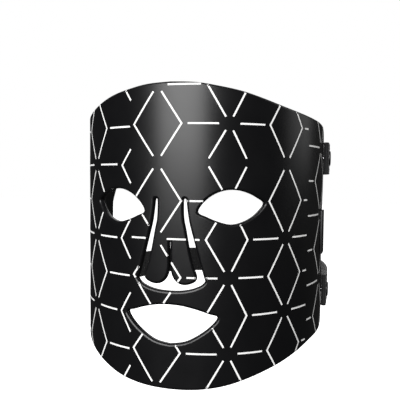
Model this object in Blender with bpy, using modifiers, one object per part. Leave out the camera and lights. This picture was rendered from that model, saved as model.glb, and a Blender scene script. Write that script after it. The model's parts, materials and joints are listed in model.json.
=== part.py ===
"""LED face mask: a flexible silicone light mask with two head straps.

The mask is designed as the flat sheet it is moulded as, and then wrapped round the face.
Sheet coordinates are millimetres: s runs along the wrap from the nose towards the wearer's
left ear, h is the height above the eyes, and depth is measured inwards from the outer face.
World frame: +X to the wearer's left, +Y towards the back of the head, +Z up. The origin lies
on the skin side at the bridge of the nose.
"""
import math

import bmesh
import bpy
from mathutils import Matrix, Vector

MM = 0.001

# The wrap round the face
HALF_WIDTH = 92.6            # half the width across the temples
WRAP_DEPTH = 108.0           # nose to the place where the sides run straight back
SIDE_POWER = 2.17            # fullness of the wrap at the cheeks
FRONT_POWER = 2.28           # flatness of the wrap at the front
FLATS = 16                   # flats on each half of the wrap
TAIL = 14.0                  # straight run behind the last flat

# Layers, as depths below the outer face
THICKNESS = 5.0
COVER_SKIN = 1.6
RIM = 1.6
FLAP_RIM = 1.2
LINER_SKIN = 1.2
BOARD = 0.3
LED_HEIGHT = 1.2
LED_SIZE = 3.2
GAP = 0.3
REAR_BAND = 142.0            # behind this the sheet is solid, to carry the straps

# LEDs: every second flat of the wrap carries a column of them
LED_ROWS = [-116 + 18 * i for i in range(12)]
LED_STAGGER = 9.0            # every second column stands this much higher
LED_MARGIN = 1.0             # board left round a LED
FOREHEAD_REACH = (-140, 140)
CHEEK_REACH = (20, 145)
CHIN_LEDS = [(-25, -106), (-5, -106), (15, -106)]
FLAP_LEDS = [(-5, -6), (5, -6), (-5, -17), (5, -17)]
LOBE_LEDS = [(7.5, -33), (7.5, -43)]
TEMPLE_TAIL = ((125, 17), (131, 29.5))
CHIN_TAIL = ((34.2, -107), (39, -101.5))

# Rear tabs, studs and straps
STUD_S = 166.0
UPPER_STRAP_H = 34.5
LOWER_STRAP_H = -71.0
STRAP_WIDTH = 25.0
STRAP = 1.8
STRAP_END = 3.9
STRAP_END_LEAD = 7.0         # how far the sewn end reaches in front of the stud
STRAP_BACK_Y = 229.0
PATCH = 1.0
PATCH_HALF = 28.0
PATCH_INSET = 1.5
OVERLAP = 34.0
DOUBLED = 24.0               # length of the folded, sewn strap end
KEEPER_HALF = 6.0
KEEPER_WALL = 2.0
KEEPER_PLAY = 0.5
TAB_GAP = 0.4                # between the tab and the strap's sewn end
STUD_POST = 2.4
STUD_HOLE = 2.7
STUD_RISE = 4.3
STUD_DISC = 6.0
STUD_DISC_THICKNESS = 1.0
SOCKET_BARREL = 4.0
SOCKET_BORE = 2.75
SOCKET_CAP = 6.0
SOCKET_CAP_HEIGHT = 1.5
TURN_STEPS = 18

# Nose window and flap
BRIDGE_H = 3.4               # height of the flap's crease
LOBE_H = -24.0               # height where the two lobes part
CREASE_GAP = 0.2
LOBE_GAP = 0.35

# Inlet at the rear edge, between the tabs
INLET_H = -23.0
INLET_HALF = 13.7
INLET_FRONT = 146.3
INLET_REAR = 161.2
INLET_FLANGE = 3.0           # reach of the flange and the lid past the housing
INLET_LID = 1.0
INLET_PROUD = 0.5            # how far the housing stands out of the notch
FLANGE_THICKNESS = 1.3
BAY_WALL = 1.5
BAY_LENGTH = 5.5
BAY_INSET = 2.5
BAY_FLOOR = 0.6
PORT_HALF = 4.9
PORT_DEPTHS = (0.7, 4.3)
SHELL_HALF = 4.5
SHELL_DEPTHS = (1.0, 4.0)
SHELL_INSET = 0.4
SHELL_WALL = 0.4
TONGUE_HALF = 3.2
TONGUE_DEPTHS = (2.15, 2.85)
TONGUE_INSET = 1.4
INLET_BOARD_DEPTHS = (3.2, 4.0)

MASK_HALF = [(0, 80.2), (17, 79.4), (32, 77.1), (47, 74.4), (62, 70.7), (78, 66.9), (95, 64.1),
             (115, 62), (137, 60.6), (156, 59.2), (166, 56.4), (170.7, 51.5), (172, 46), (172, 39),
             (172, 31), (172, 24), (171, 15), (168, 7), (163, -1), (161.5, -8), (161.5, -38),
             (162.4, -50), (167.5, -58.5), (171, -66), (172, -74), (172, -83), (169.3, -92.5),
             (160, -98.8), (140, -99.6), (118, -100.2), (99, -103.6), (82, -107.6), (66, -111.6),
             (51, -115.6), (38, -118.8), (24, -121), (12, -122), (0, -122.3)]
EYE = [(18.8, -4.1), (23, 2.6), (29.8, 7.6), (37.6, 10.1), (45.4, 10.1), (53.2, 8.1),
       (60.1, 4.9), (64.7, 1.7), (61.6, -2.5), (56.2, -6.9), (48.7, -10.5), (40.5, -12.1),
       (31.7, -10.1), (24.4, -7.2)]
MOUTH_HALF = [(0, -65.6), (8.9, -66.2), (18.8, -68.4), (26.7, -71), (32.3, -72.9), (29.2, -77.9),
              (21.1, -84.3), (10.7, -89.8), (0, -91.7)]
WINDOW_SIDE = [(11, BRIDGE_H + CREASE_GAP), (11.7, -3), (13, -11), (15.1, -19), (17.6, -28),
               (20.4, -38), (23.9, -49.4)]
WINDOW_SMILE = [(23.9, -49.4), (21.3, -52.7), (15.5, -55.7), (8, -57.3), (0, -57.7)]
FLAP_SIDE = [(9, BRIDGE_H - CREASE_GAP), (9.3, -8), (10.9, -16), (12.35, LOBE_H + LOBE_GAP)]
LOBE_OUTER = [(12.45, LOBE_H - LOBE_GAP), (14.1, -32), (16.2, -40), (18.4, -46), (17.5, -49.4),
              (13.4, -51.1), (9.6, -51.4), (6.5, -50.2), (3.5, -47.2), (1.2, -43.8),
              (LOBE_GAP, -39.5)]
FOREHEAD_HALF = [(0, 71), (40, 67), (80, 58.5), (120, 53), (137, 51), (137, 34), (110, 27),
                 (80, 20), (60, 17.5), (40, 15.5), (20, 12), (0, 8)]
CHEEK = [(24, -18), (34, -17), (46, -18), (60, -14), (74, 0), (100, 10), (137, 14), (137, -50),
         (137, -90), (110, -92), (84, -98), (62, -101), (44, -100), (38, -90), (40, -72),
         (30, -60), (29, -50), (25, -36)]
CHIN_HALF = [(0, -98), (14, -96.5), (26, -90), (31, -96), (33, -112), (16, -116), (0, -117)]


# ---------------------------------------------------------------- scene and mesh helpers
def clear_scene():
    for item in list(bpy.data.objects):
        bpy.data.objects.remove(item, do_unlink=True)


def new_collection(name):
    collection = bpy.data.collections.new(name)
    bpy.context.scene.collection.children.link(collection)
    return collection


def material(name, colour, roughness, metallic=0.0):
    made = bpy.data.materials.new(name)
    made.use_nodes = True
    shader = made.node_tree.nodes["Principled BSDF"]
    shader.inputs["Base Color"].default_value = (*colour, 1)
    shader.inputs["Roughness"].default_value = roughness
    shader.inputs["Metallic"].default_value = metallic
    made.diffuse_color = (*colour, 1)
    return made


def evaluated_mesh(item):
    bpy.context.view_layer.update()
    graph = bpy.context.evaluated_depsgraph_get()
    return bpy.data.meshes.new_from_object(item.evaluated_get(graph))


def mesh_object(name, mesh):
    item = bpy.data.objects.new(name, mesh)
    PARTS.objects.link(item)
    return item


def tidy(mesh):
    """Weld the mesh, merge its coplanar triangles and point its faces outwards."""
    work = bmesh.new()
    work.from_mesh(mesh)
    bmesh.ops.remove_doubles(work, verts=work.verts, dist=0.000002)
    bmesh.ops.dissolve_limit(work, angle_limit=math.radians(0.05), verts=work.verts, edges=work.edges)
    bmesh.ops.recalc_face_normals(work, faces=work.faces)
    work.to_mesh(mesh)
    work.free()


def plate(name, loops, near, far):
    """A closed plate between two depths; the first loop is its outline and the rest are holes."""
    curve = bpy.data.curves.new(name, "CURVE")
    curve.dimensions = "2D"
    curve.fill_mode = "BOTH"
    curve.extrude = (far - near) / 2 * MM
    for loop in loops:
        spline = curve.splines.new("POLY")
        spline.points.add(len(loop) - 1)
        spline.use_cyclic_u = True
        for point, (x, y) in zip(spline.points, loop):
            point.co = (x * MM, y * MM, 0, 1)
    outline = bpy.data.objects.new(name + "_outline", curve)
    PARTS.objects.link(outline)
    mesh = evaluated_mesh(outline)
    bpy.data.objects.remove(outline)
    mesh.transform(Matrix.Translation((0, 0, -(near + far) / 2 * MM)))
    tidy(mesh)
    return mesh_object(name, mesh)


def box(name, low, high):
    """A box between two corners given as (s, h, depth)."""
    centre = [(a + b) / 2 for a, b in zip(low, high)]
    bpy.ops.mesh.primitive_cube_add(size=1)
    item = bpy.context.object
    item.name = name
    item.data.transform(Matrix.Diagonal([abs(b - a) * MM for a, b in zip(low, high)] + [1]))
    item.data.transform(Matrix.Translation((centre[0] * MM, centre[1] * MM, -centre[2] * MM)))
    for owner in list(item.users_collection):
        owner.objects.unlink(item)
    PARTS.objects.link(item)
    return item


def combine(target, tool, operation):
    """Boolean the tool into the target and use it up."""
    modifier = target.modifiers.new(operation, "BOOLEAN")
    modifier.operation = operation
    modifier.solver = "EXACT"
    modifier.object = tool
    mesh = evaluated_mesh(target)
    target.modifiers.clear()
    target.data = mesh
    bpy.data.objects.remove(tool)
    tidy(target.data)
    return target


def join(name, items):
    """Put the meshes of several separate items into one object."""
    work = bmesh.new()
    for item in items:
        work.from_mesh(item.data)
        bpy.data.objects.remove(item)
    mesh = bpy.data.meshes.new(name)
    work.to_mesh(mesh)
    work.free()
    return mesh_object(name, mesh)


def turned(name, profile, centre, towards):
    """A round piece: (radius, distance) profile turned about an axis along +X or -X."""
    mesh = bpy.data.meshes.new(name)
    work = bmesh.new()
    verts = [work.verts.new((radius * MM, 0, along * MM)) for radius, along in profile]
    for a, b in zip(verts, verts[1:]):
        work.edges.new((a, b))
    if profile[0][0] > 0:
        work.edges.new((verts[-1], verts[0]))
    work.to_mesh(mesh)
    work.free()
    item = mesh_object(name, mesh)
    screw = item.modifiers.new("turn", "SCREW")
    screw.steps = TURN_STEPS
    screw.render_steps = TURN_STEPS
    screw.use_merge_vertices = True
    screw.merge_threshold = 0.000005
    shape = evaluated_mesh(item)
    item.modifiers.clear()
    item.data = shape
    turn = Matrix.Rotation(math.radians(90 * towards), 4, "Y")
    item.data.transform(Matrix.Translation([value * MM for value in centre]) @ turn)
    tidy(item.data)
    return item


# ---------------------------------------------------------------- outlines
def smooth(points, closed=False, steps=2):
    """Catmull-Rom curve through the points."""
    count = len(points)
    result = []
    for i in range(count if closed else count - 1):
        if closed:
            around = [points[(i + k) % count] for k in (-1, 0, 1, 2)]
        else:
            around = [points[min(max(i + k, 0), count - 1)] for k in (-1, 0, 1, 2)]
        for step in range(steps):
            t = step / steps
            weights = (-t + 2 * t**2 - t**3, 2 - 5 * t**2 + 3 * t**3,
                       t + 4 * t**2 - 3 * t**3, -t**2 + t**3)
            result.append(tuple(sum(w * p[axis] for w, p in zip(weights, around)) / 2
                                for axis in (0, 1)))
    if not closed:
        result.append(points[-1])
    return result


def mirrored(loop):
    return [(-x, y) for x, y in reversed(loop)]


def whole(half):
    """Close a right-hand half, which starts and ends on the centre line, with its mirror image."""
    return half + mirrored(half)[1:-1]


def grown(loop, distance):
    """The loop moved outwards by a distance, or inwards if it is negative."""
    area = sum(a[0] * b[1] - b[0] * a[1] for a, b in zip(loop, loop[1:] + loop[:1]))
    turn = 1 if area > 0 else -1
    result = []
    for i, point in enumerate(loop):
        before = Vector(point) - Vector(loop[i - 1])
        after = Vector(loop[(i + 1) % len(loop)]) - Vector(point)
        before.normalize()
        after.normalize()
        mean = (before + after).normalized()
        stretch = 1 / max(mean.dot(after), 0.7)
        result.append((point[0] + turn * mean.y * distance * stretch,
                       point[1] - turn * mean.x * distance * stretch))
    return result


def clamped(loop, limit):
    """The loop cut off straight at s = -limit and s = limit."""
    result = []
    for s, h in loop:
        point = (min(max(s, -limit), limit), h)
        held = result and abs(point[0]) == limit and result[-1][0] == point[0]
        if held and len(result) > 1 and result[-2][0] == point[0]:
            result[-1] = point
        else:
            result.append(point)
    return result


def inside(point, loop):
    x, y = point
    hit = False
    for (xa, ya), (xb, yb) in zip(loop, loop[1:] + loop[:1]):
        if (ya > y) != (yb > y) and x < xa + (y - ya) / (yb - ya) * (xb - xa):
            hit = not hit
    return hit


def mask_outline():
    return whole(smooth(MASK_HALF))


def eye_outlines():
    right = smooth(EYE, closed=True)
    return [right, mirrored(right)]


def mouth_outline():
    return whole(smooth(MOUTH_HALF))


def window_outline():
    side = smooth(WINDOW_SIDE)
    top = [(0, WINDOW_SIDE[0][1])]
    return whole(top + side[:-1] + smooth(WINDOW_SMILE))


def flap_outline():
    side = smooth(FLAP_SIDE)
    return side + mirrored(side)


def lobe_outline():
    return [(LOBE_GAP, LOBE_H - LOBE_GAP)] + smooth(LOBE_OUTER)


# ---------------------------------------------------------------- the wrap
def wrap_stations():
    """Places along the wrap where the sheet bends: s, position and mitred inward direction."""
    fine = []
    for i in range(4001):
        angle = math.pi / 2 * i / 4000
        x = HALF_WIDTH * math.sin(angle) ** (2 / SIDE_POWER)
        y = WRAP_DEPTH * (1 - math.cos(angle) ** (2 / FRONT_POWER))
        fine.append((x, y))
    along = [0.0]
    for a, b in zip(fine, fine[1:]):
        along.append(along[-1] + math.dist(a, b))
    points = []
    index = 0
    for flat in range(FLATS + 1):
        target = along[-1] * flat / FLATS
        while along[index] < target - 1e-9:
            index += 1
        points.append((target, Vector(fine[index])))
    points.append((along[-1] + TAIL, points[-1][1] + Vector((0, TAIL))))
    half = []
    for i, (s, place) in enumerate(points):
        before = points[i - 1][1] if i else Vector((-points[1][1].x, points[1][1].y))
        after = points[i + 1][1] if i + 1 < len(points) else place + Vector((0, 1))
        first = (place - before).normalized()
        second = (after - place).normalized()
        mean = second if i >= FLATS else (first + second).normalized()
        inward = Vector((-mean.y, mean.x)) / mean.dot(second)
        half.append((s, place - Vector((0, THICKNESS)), inward))
    left = [(-s, Vector((-p.x, p.y)), Vector((-n.x, n.y))) for s, p, n in reversed(half[1:])]
    return left + half


def wrap(item):
    """Bend a flat piece round the face, with a crease line at every station it crosses."""
    work = bmesh.new()
    work.from_mesh(item.data)
    for s, _, _ in STATIONS[1:-1]:
        geometry = work.verts[:] + work.edges[:] + work.faces[:]
        bmesh.ops.bisect_plane(work, geom=geometry, dist=1e-7, plane_co=(s * MM, 0, 0),
                               plane_no=(1, 0, 0))
    for vert in work.verts:
        s, h, depth = vert.co.x / MM, vert.co.y, -vert.co.z / MM
        index = 0
        while index < len(STATIONS) - 2 and s > STATIONS[index + 1][0] + 1e-4:
            index += 1
        (s_a, place_a, in_a), (s_b, place_b, in_b) = STATIONS[index], STATIONS[index + 1]
        share = (s - s_a) / (s_b - s_a)
        place = place_a.lerp(place_b, share) + in_a.lerp(in_b, share) * depth
        vert.co = (place.x * MM, place.y * MM, h)
    work.to_mesh(item.data)
    work.free()
    return item


def tail_point(s, side):
    """World X and Y, in millimetres, of the outer face on the straight run at the rear."""
    return side * HALF_WIDTH, WRAP_DEPTH - THICKNESS + s - STATIONS[-2][0]


# ---------------------------------------------------------------- mask body
def stud_places():
    return [(name, side, h) for name, side, h in (
        ("upper_right", -1, UPPER_STRAP_H), ("upper_left", 1, UPPER_STRAP_H),
        ("lower_right", -1, LOWER_STRAP_H), ("lower_left", 1, LOWER_STRAP_H))]


def circle(centre, radius):
    steps = range(TURN_STEPS)
    return [(centre[0] + radius * math.cos(math.tau * i / TURN_STEPS),
             centre[1] + radius * math.sin(math.tau * i / TURN_STEPS)) for i in steps]


def front_cover():
    holes = eye_outlines() + [mouth_outline(), window_outline()]
    studs = [circle((side * STUD_S, h), STUD_HOLE) for _, side, h in stud_places()]
    cover = plate("front_cover", [mask_outline()] + holes + studs, 0, THICKNESS)
    pocket_edge = clamped(grown(mask_outline(), -RIM), REAR_BAND)
    pocket = plate("pocket", [pocket_edge] + [grown(hole, RIM) for hole in holes],
                   COVER_SKIN, THICKNESS + 1)
    combine(cover, pocket, "DIFFERENCE")
    notch = box("notch", (INLET_FRONT - GAP, INLET_H - INLET_HALF - GAP, -1),
                (INLET_REAR + 3, INLET_H + INLET_HALF + GAP, THICKNESS + 1))
    combine(cover, notch, "DIFFERENCE")
    return wrap(cover)


def skin_liner():
    edge = RIM + GAP
    holes = [grown(hole, edge) for hole in eye_outlines() + [mouth_outline(), window_outline()]]
    outline = clamped(grown(mask_outline(), -edge), REAR_BAND - GAP)
    liner = plate("skin_liner", [outline] + holes, THICKNESS - LINER_SKIN, THICKNESS)
    return wrap(liner)


def led_blocks(places):
    """One block for each LED, its foot sunk a little into the board."""
    half, top = LED_SIZE / 2, COVER_SKIN + GAP + BOARD
    return join("leds", [box("led", (s - half, h - half, top - BOARD / 3),
                             (s + half, h + half, top + LED_HEIGHT)) for s, h in places])


def led_board(name, outline, places):
    """A flexible circuit with its LEDs."""
    near = COVER_SKIN + GAP
    return wrap(combine(plate(name, [outline], near, near + BOARD), led_blocks(places), "UNION"))


def grid_places(outline, low, high):
    """Grid places between two s values that lie well inside the outline."""
    pitch = STATIONS[-2][0] / FLATS
    columns = [s for s in ((i + 0.5) * pitch for i in range(-FLATS, FLATS, 2)) if low < s < high]
    reach = LED_SIZE / 2 + LED_MARGIN
    places = []
    for i, s in enumerate(columns):
        for row in LED_ROWS:
            h = row + LED_STAGGER * (i % 2)
            corners = [(s + a * reach, h + b * reach) for a in (-1, 1) for b in (-1, 1)]
            if all(inside(corner, outline) for corner in corners):
                places.append((s, h))
    return places


def led_boards():
    forehead, cheek = whole(smooth(FOREHEAD_HALF)), smooth(CHEEK, closed=True)
    low, high = CHEEK_REACH
    return [led_board("forehead_led_board", forehead, grid_places(forehead, *FOREHEAD_REACH)),
            led_board("left_cheek_led_board", cheek, grid_places(cheek, low, high)),
            led_board("right_cheek_led_board", mirrored(cheek),
                      grid_places(mirrored(cheek), -high, -low)),
            led_board("chin_led_board", whole(smooth(CHIN_HALF)), CHIN_LEDS)]


def flex_tails():
    """Narrow flexible circuits that carry power from the left cheek to the other boards."""
    near, far = COVER_SKIN + GAP, COVER_SKIN + GAP + BOARD
    made = []
    for word, ((s_a, low), (s_b, high)) in (("temple", TEMPLE_TAIL), ("chin", CHIN_TAIL)):
        for side_word, a, b in (("left", s_a, s_b), ("right", -s_b, -s_a)):
            made.append(wrap(box("%s_%s_flex_tail" % (side_word, word), (a, low, near),
                                 (b, high, far))))
    return made


# ---------------------------------------------------------------- nose flap
def flap_piece(prefix, outline, led_places):
    """Cover, liner and LED board of one part of the nose flap."""
    cover = plate(prefix + "_cover", [outline], 0, THICKNESS)
    pocket = plate("pocket", [grown(outline, -FLAP_RIM)], COVER_SKIN, THICKNESS + 1)
    combine(cover, pocket, "DIFFERENCE")
    inner = grown(outline, -FLAP_RIM - GAP)
    liner = plate(prefix + "_liner", [inner], THICKNESS - LINER_SKIN, THICKNESS)
    return [wrap(cover), wrap(liner), led_board(prefix + "_led_board", inner, led_places)]


def nose_flap():
    return flap_piece("nose_flap", flap_outline(), FLAP_LEDS)


def nose_lobe(side, name):
    outline = lobe_outline() if side > 0 else mirrored(lobe_outline())
    return flap_piece(name, outline, [(side * s, h) for s, h in LOBE_LEDS])


# ---------------------------------------------------------------- power inlet
def band_box(name, front, rear, half, near, far):
    """A box centred on the inlet's height."""
    return box(name, (front, INLET_H - half, near), (rear, INLET_H + half, far))


def inlet():
    front, rear, half = INLET_FRONT, INLET_REAR, INLET_HALF
    bay_front = front + BAY_WALL
    bay_rear = bay_front + BAY_LENGTH
    outer = half + INLET_FLANGE
    housing = band_box("inlet_housing", front, rear, half, -INLET_PROUD, THICKNESS)
    flange = band_box("flange", front - INLET_FLANGE, rear, outer, -GAP - FLANGE_THICKNESS, -GAP)
    combine(housing, flange, "UNION")
    bay = band_box("bay", bay_front, bay_rear, half - BAY_INSET, BAY_FLOOR, THICKNESS + 1)
    combine(housing, bay, "DIFFERENCE")
    port = band_box("port", bay_rear - 1, rear + 1, PORT_HALF, *PORT_DEPTHS)
    combine(housing, port, "DIFFERENCE")
    lid = band_box("inlet_lid", front - INLET_FLANGE, rear, outer, THICKNESS + GAP,
                   THICKNESS + GAP + INLET_LID)
    board = band_box("inlet_board", bay_front + GAP, bay_rear - GAP, half - BAY_INSET - GAP,
                     *INLET_BOARD_DEPTHS)
    near, far = SHELL_DEPTHS
    shell = band_box("inlet_socket", bay_rear + SHELL_INSET, rear - SHELL_INSET, SHELL_HALF,
                     near, far)
    mouth = band_box("mouth", bay_rear + SHELL_INSET + SHELL_WALL, rear + 1,
                     SHELL_HALF - SHELL_WALL, near + SHELL_WALL, far - SHELL_WALL)
    combine(shell, mouth, "DIFFERENCE")
    tongue = band_box("inlet_tongue", bay_rear + TONGUE_INSET, rear - TONGUE_INSET, TONGUE_HALF,
                      *TONGUE_DEPTHS)
    return [wrap(piece) for piece in (housing, lid, board, shell, tongue)]


# ---------------------------------------------------------------- straps
def strap_line(back_y, tip_x):
    """Middle line of a band on the left side, from its sewn end to its tip past the centre."""
    x_end = HALF_WIDTH + TAB_GAP + STRAP_END - STRAP / 2
    y_end = tail_point(STUD_S, 1)[1] - STRAP_END_LEAD
    run = [(x_end, y_end), (x_end, y_end + 20), (x_end - 0.5, y_end + 40), (x_end - 3, 162),
           (x_end - 7.5, 182), (x_end - 17, back_y - 27), (x_end - 32, back_y - 11),
           (x_end - 49, back_y - 2), (32, back_y), (0, back_y), (tip_x, back_y)]
    return smooth(run, steps=4)


def strap_band(name, side, centre_h, back_y, tip_x):
    """A flat elastic band, its sewn end twice as thick and holed for the snap socket."""
    line = strap_line(back_y, tip_x)
    outer, inner = [], []
    for i, point in enumerate(line):
        ahead = Vector(line[min(i + 1, len(line) - 1)]) - Vector(line[max(i - 1, 0)])
        ahead.normalize()
        across = Vector((ahead.y, -ahead.x)) * STRAP / 2
        outer.append((point[0] + across.x, point[1] + across.y))
        inner.append((point[0] - across.x, point[1] - across.y))
    front_y = line[0][1]
    fold = STRAP_END - STRAP
    doubled = [(x - fold if y < front_y + DOUBLED else x, y) for x, y in inner]
    loop = outer + list(reversed(doubled))
    band = plate(name, [loop if side > 0 else mirrored(loop)], 0, STRAP_WIDTH)
    band.data.transform(Matrix.Translation((0, 0, (centre_h + STRAP_WIDTH / 2) * MM)))
    x, y = tail_point(STUD_S, side)
    radius, above, below = SOCKET_BARREL + GAP, 3 * STRAP_END, -STRAP_END
    hole = turned("hole", [(0, above), (radius, above), (radius, below), (0, below)],
                  (x, y, centre_h), side)
    return combine(band, hole, "DIFFERENCE")


def upright_box(name, low, high):
    """A box between two world corners in millimetres."""
    return box(name, (low[0], low[1], -low[2]), (high[0], high[1], -high[2]))


def strap(prefix, centre_h):
    """One head strap: two overlapping bands, their hook and loop patches, and the keeper."""
    layer = STRAP / 2
    loop_near = STRAP_BACK_Y + layer + GAP
    hook_near = loop_near + PATCH + GAP
    outer_y = hook_near + PATCH + GAP + layer
    bands = [strap_band(prefix + "_left_band", 1, centre_h, STRAP_BACK_Y, -OVERLAP),
             strap_band(prefix + "_right_band", -1, centre_h, outer_y, -OVERLAP)]
    patch_half = STRAP_WIDTH / 2 - PATCH_INSET
    low, high = centre_h - patch_half, centre_h + patch_half
    patches = [upright_box(prefix + "_loop_patch", (-PATCH_HALF, loop_near, low),
                           (PATCH_HALF, loop_near + PATCH, high)),
               upright_box(prefix + "_hook_patch", (-PATCH_HALF, hook_near, low),
                           (PATCH_HALF, hook_near + PATCH, high))]
    near, far = STRAP_BACK_Y - layer - KEEPER_PLAY, outer_y + layer + KEEPER_PLAY
    half = STRAP_WIDTH / 2 + KEEPER_PLAY
    outer_half = half + KEEPER_WALL
    ring = upright_box(prefix + "_keeper",
                       (-KEEPER_HALF, near - KEEPER_WALL, centre_h - outer_half),
                       (KEEPER_HALF, far + KEEPER_WALL, centre_h + outer_half))
    way = upright_box("way", (-KEEPER_HALF - 1, near, centre_h - half),
                      (KEEPER_HALF + 1, far, centre_h + half))
    combine(ring, way, "DIFFERENCE")
    return bands + patches, [ring]


def stud(name, side, h):
    """Snap stud: a disc inside the mask, a post through the tab and a rounded head."""
    x, y = tail_point(STUD_S, side)
    inner = -THICKNESS - GAP
    profile = [(0, STUD_RISE), (STUD_POST - 0.6, STUD_RISE - 0.1),
               (STUD_POST - 0.1, STUD_RISE - 0.7), (STUD_POST - 0.3, STUD_RISE - 1.7),
               (STUD_POST, TAB_GAP), (STUD_POST, inner), (STUD_DISC, inner),
               (STUD_DISC, inner - STUD_DISC_THICKNESS), (0, inner - STUD_DISC_THICKNESS)]
    return turned(name, profile, (x, y, h), side)


def socket(name, side, h):
    """Snap socket: a barrel in the strap end with a flange over the strap."""
    x, y = tail_point(STUD_S, side)
    bottom = TAB_GAP + 0.1
    strap_top = TAB_GAP + STRAP_END
    top = strap_top + SOCKET_CAP_HEIGHT
    roof = strap_top + STRAP_END / 8
    profile = [(0, top), (SOCKET_CAP - 0.6, top - 0.2), (SOCKET_CAP, top - 0.6),
               (SOCKET_CAP, strap_top + GAP), (SOCKET_BARREL, strap_top + GAP),
               (SOCKET_BARREL, bottom), (SOCKET_BORE, bottom), (SOCKET_BORE, roof), (0, roof)]
    return turned(name, profile, (x, y, h), side)


# ---------------------------------------------------------------- assembly
def pivot(name, place):
    """An empty on a joint's axis, given in millimetres."""
    axis = bpy.data.objects.new(name, None)
    axis.location = [value * MM for value in place]
    PARTS.objects.link(axis)
    return axis


def hang(items, axis):
    """Give the pieces their origin on the axis and parent them to it."""
    for item in items:
        item.data.transform(Matrix.Translation(-axis.location))
        item.parent = axis


def paint(items, finish):
    for item in items:
        item.data.materials.clear()
        item.data.materials.append(finish)
        for polygon in item.data.polygons:
            polygon.material_index = 0


def build():
    silicone = material("black_silicone", (0.012, 0.012, 0.013), 0.42)
    clear = material("clear_silicone", (0.75, 0.76, 0.78), 0.3)
    circuit = material("white_circuit", (0.8, 0.8, 0.78), 0.5)
    webbing = material("black_webbing", (0.015, 0.015, 0.016), 0.85)
    plastic = material("black_plastic", (0.02, 0.02, 0.022), 0.35)
    steel = material("snap_steel", (0.6, 0.6, 0.62), 0.25, 1.0)

    paint([front_cover()], silicone)
    paint([skin_liner()], clear)
    paint(led_boards() + flex_tails(), circuit)

    outer_y = -THICKNESS
    flap_axis = pivot("nose_flap_axis", (0, outer_y, BRIDGE_H))
    flap = nose_flap()
    hang(flap, flap_axis)
    lobes = {"left_lobe": nose_lobe(1, "left_lobe"), "right_lobe": nose_lobe(-1, "right_lobe")}
    for name, pieces in lobes.items():
        hang(pieces, pivot(name + "_axis", (0, outer_y, LOBE_H)))
    for cover, liner, board in [flap] + list(lobes.values()):
        paint([cover], silicone)
        paint([liner], clear)
        paint([board], circuit)

    housing, lid, board, shell, tongue = inlet()
    paint([housing, lid, tongue], plastic)
    paint([board], circuit)
    paint([shell], steel)

    stud_y = tail_point(STUD_S, 1)[1]
    for prefix, h in (("upper_strap", UPPER_STRAP_H), ("lower_strap", LOWER_STRAP_H)):
        soft, keeper = strap(prefix, h)
        paint(soft, webbing)
        paint(keeper, plastic)
        sockets = [socket("%s_%s_socket" % (prefix, word), side, h)
                   for word, side in (("left", 1), ("right", -1))]
        paint(sockets, steel)
        hang(soft + keeper + sockets, pivot(prefix + "_axis", (0, stud_y, h)))
    for name, side, h in stud_places():
        paint([stud(name + "_stud", side, h)], steel)


clear_scene()
PARTS = new_collection("led_face_mask")
STATIONS = wrap_stations()
build()
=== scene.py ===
# %% [markdown]
# # LED face mask
# The real mask is a soft silicone sheet, moulded flat and held round the face by two elastic
# head straps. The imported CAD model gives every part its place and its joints. Here each soft
# part is modelled again with its fine shape: first flat, where its outline is easy to draw, and
# then laid along the curve that it follows on a head.

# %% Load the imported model
import json
import math

import bpy
import numpy as np
from mathutils import Matrix, Vector

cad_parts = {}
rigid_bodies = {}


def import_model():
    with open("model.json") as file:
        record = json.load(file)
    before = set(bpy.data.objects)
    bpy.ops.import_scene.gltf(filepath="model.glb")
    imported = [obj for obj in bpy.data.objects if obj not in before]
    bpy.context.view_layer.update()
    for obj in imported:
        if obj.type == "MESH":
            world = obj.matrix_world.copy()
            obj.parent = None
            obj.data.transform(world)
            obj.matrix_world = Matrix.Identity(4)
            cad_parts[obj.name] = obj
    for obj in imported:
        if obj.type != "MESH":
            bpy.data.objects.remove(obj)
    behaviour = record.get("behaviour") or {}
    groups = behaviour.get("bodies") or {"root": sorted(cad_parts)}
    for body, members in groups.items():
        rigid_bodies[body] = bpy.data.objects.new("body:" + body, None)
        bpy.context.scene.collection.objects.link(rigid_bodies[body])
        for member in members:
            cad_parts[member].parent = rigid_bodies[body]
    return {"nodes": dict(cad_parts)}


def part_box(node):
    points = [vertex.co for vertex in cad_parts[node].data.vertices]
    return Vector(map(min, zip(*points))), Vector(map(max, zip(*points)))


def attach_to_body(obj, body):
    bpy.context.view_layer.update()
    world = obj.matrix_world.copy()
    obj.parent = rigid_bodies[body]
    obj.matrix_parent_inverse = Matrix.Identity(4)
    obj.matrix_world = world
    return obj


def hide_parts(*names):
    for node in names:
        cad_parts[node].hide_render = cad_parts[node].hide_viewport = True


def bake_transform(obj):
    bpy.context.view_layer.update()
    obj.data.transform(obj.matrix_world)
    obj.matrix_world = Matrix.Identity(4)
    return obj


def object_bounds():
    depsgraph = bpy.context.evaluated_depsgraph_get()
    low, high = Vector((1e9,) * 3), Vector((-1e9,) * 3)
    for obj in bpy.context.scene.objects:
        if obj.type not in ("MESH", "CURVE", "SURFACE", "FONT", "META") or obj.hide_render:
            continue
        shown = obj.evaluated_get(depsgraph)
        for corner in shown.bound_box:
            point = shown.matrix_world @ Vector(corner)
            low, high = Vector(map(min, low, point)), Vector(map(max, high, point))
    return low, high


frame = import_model()
cad_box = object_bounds()
scene = bpy.context.scene
MM = 0.001
print("frame size in mm:", [round((b - a) / MM, 1) for a, b in zip(*cad_box)])

# %% [markdown]
# ## Camera
# A product picture of a mask is taken from a little to one side, so that the wrap round the
# cheek shows. The camera's three axes are worked out from its turn, its tilt and a slight roll.

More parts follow.
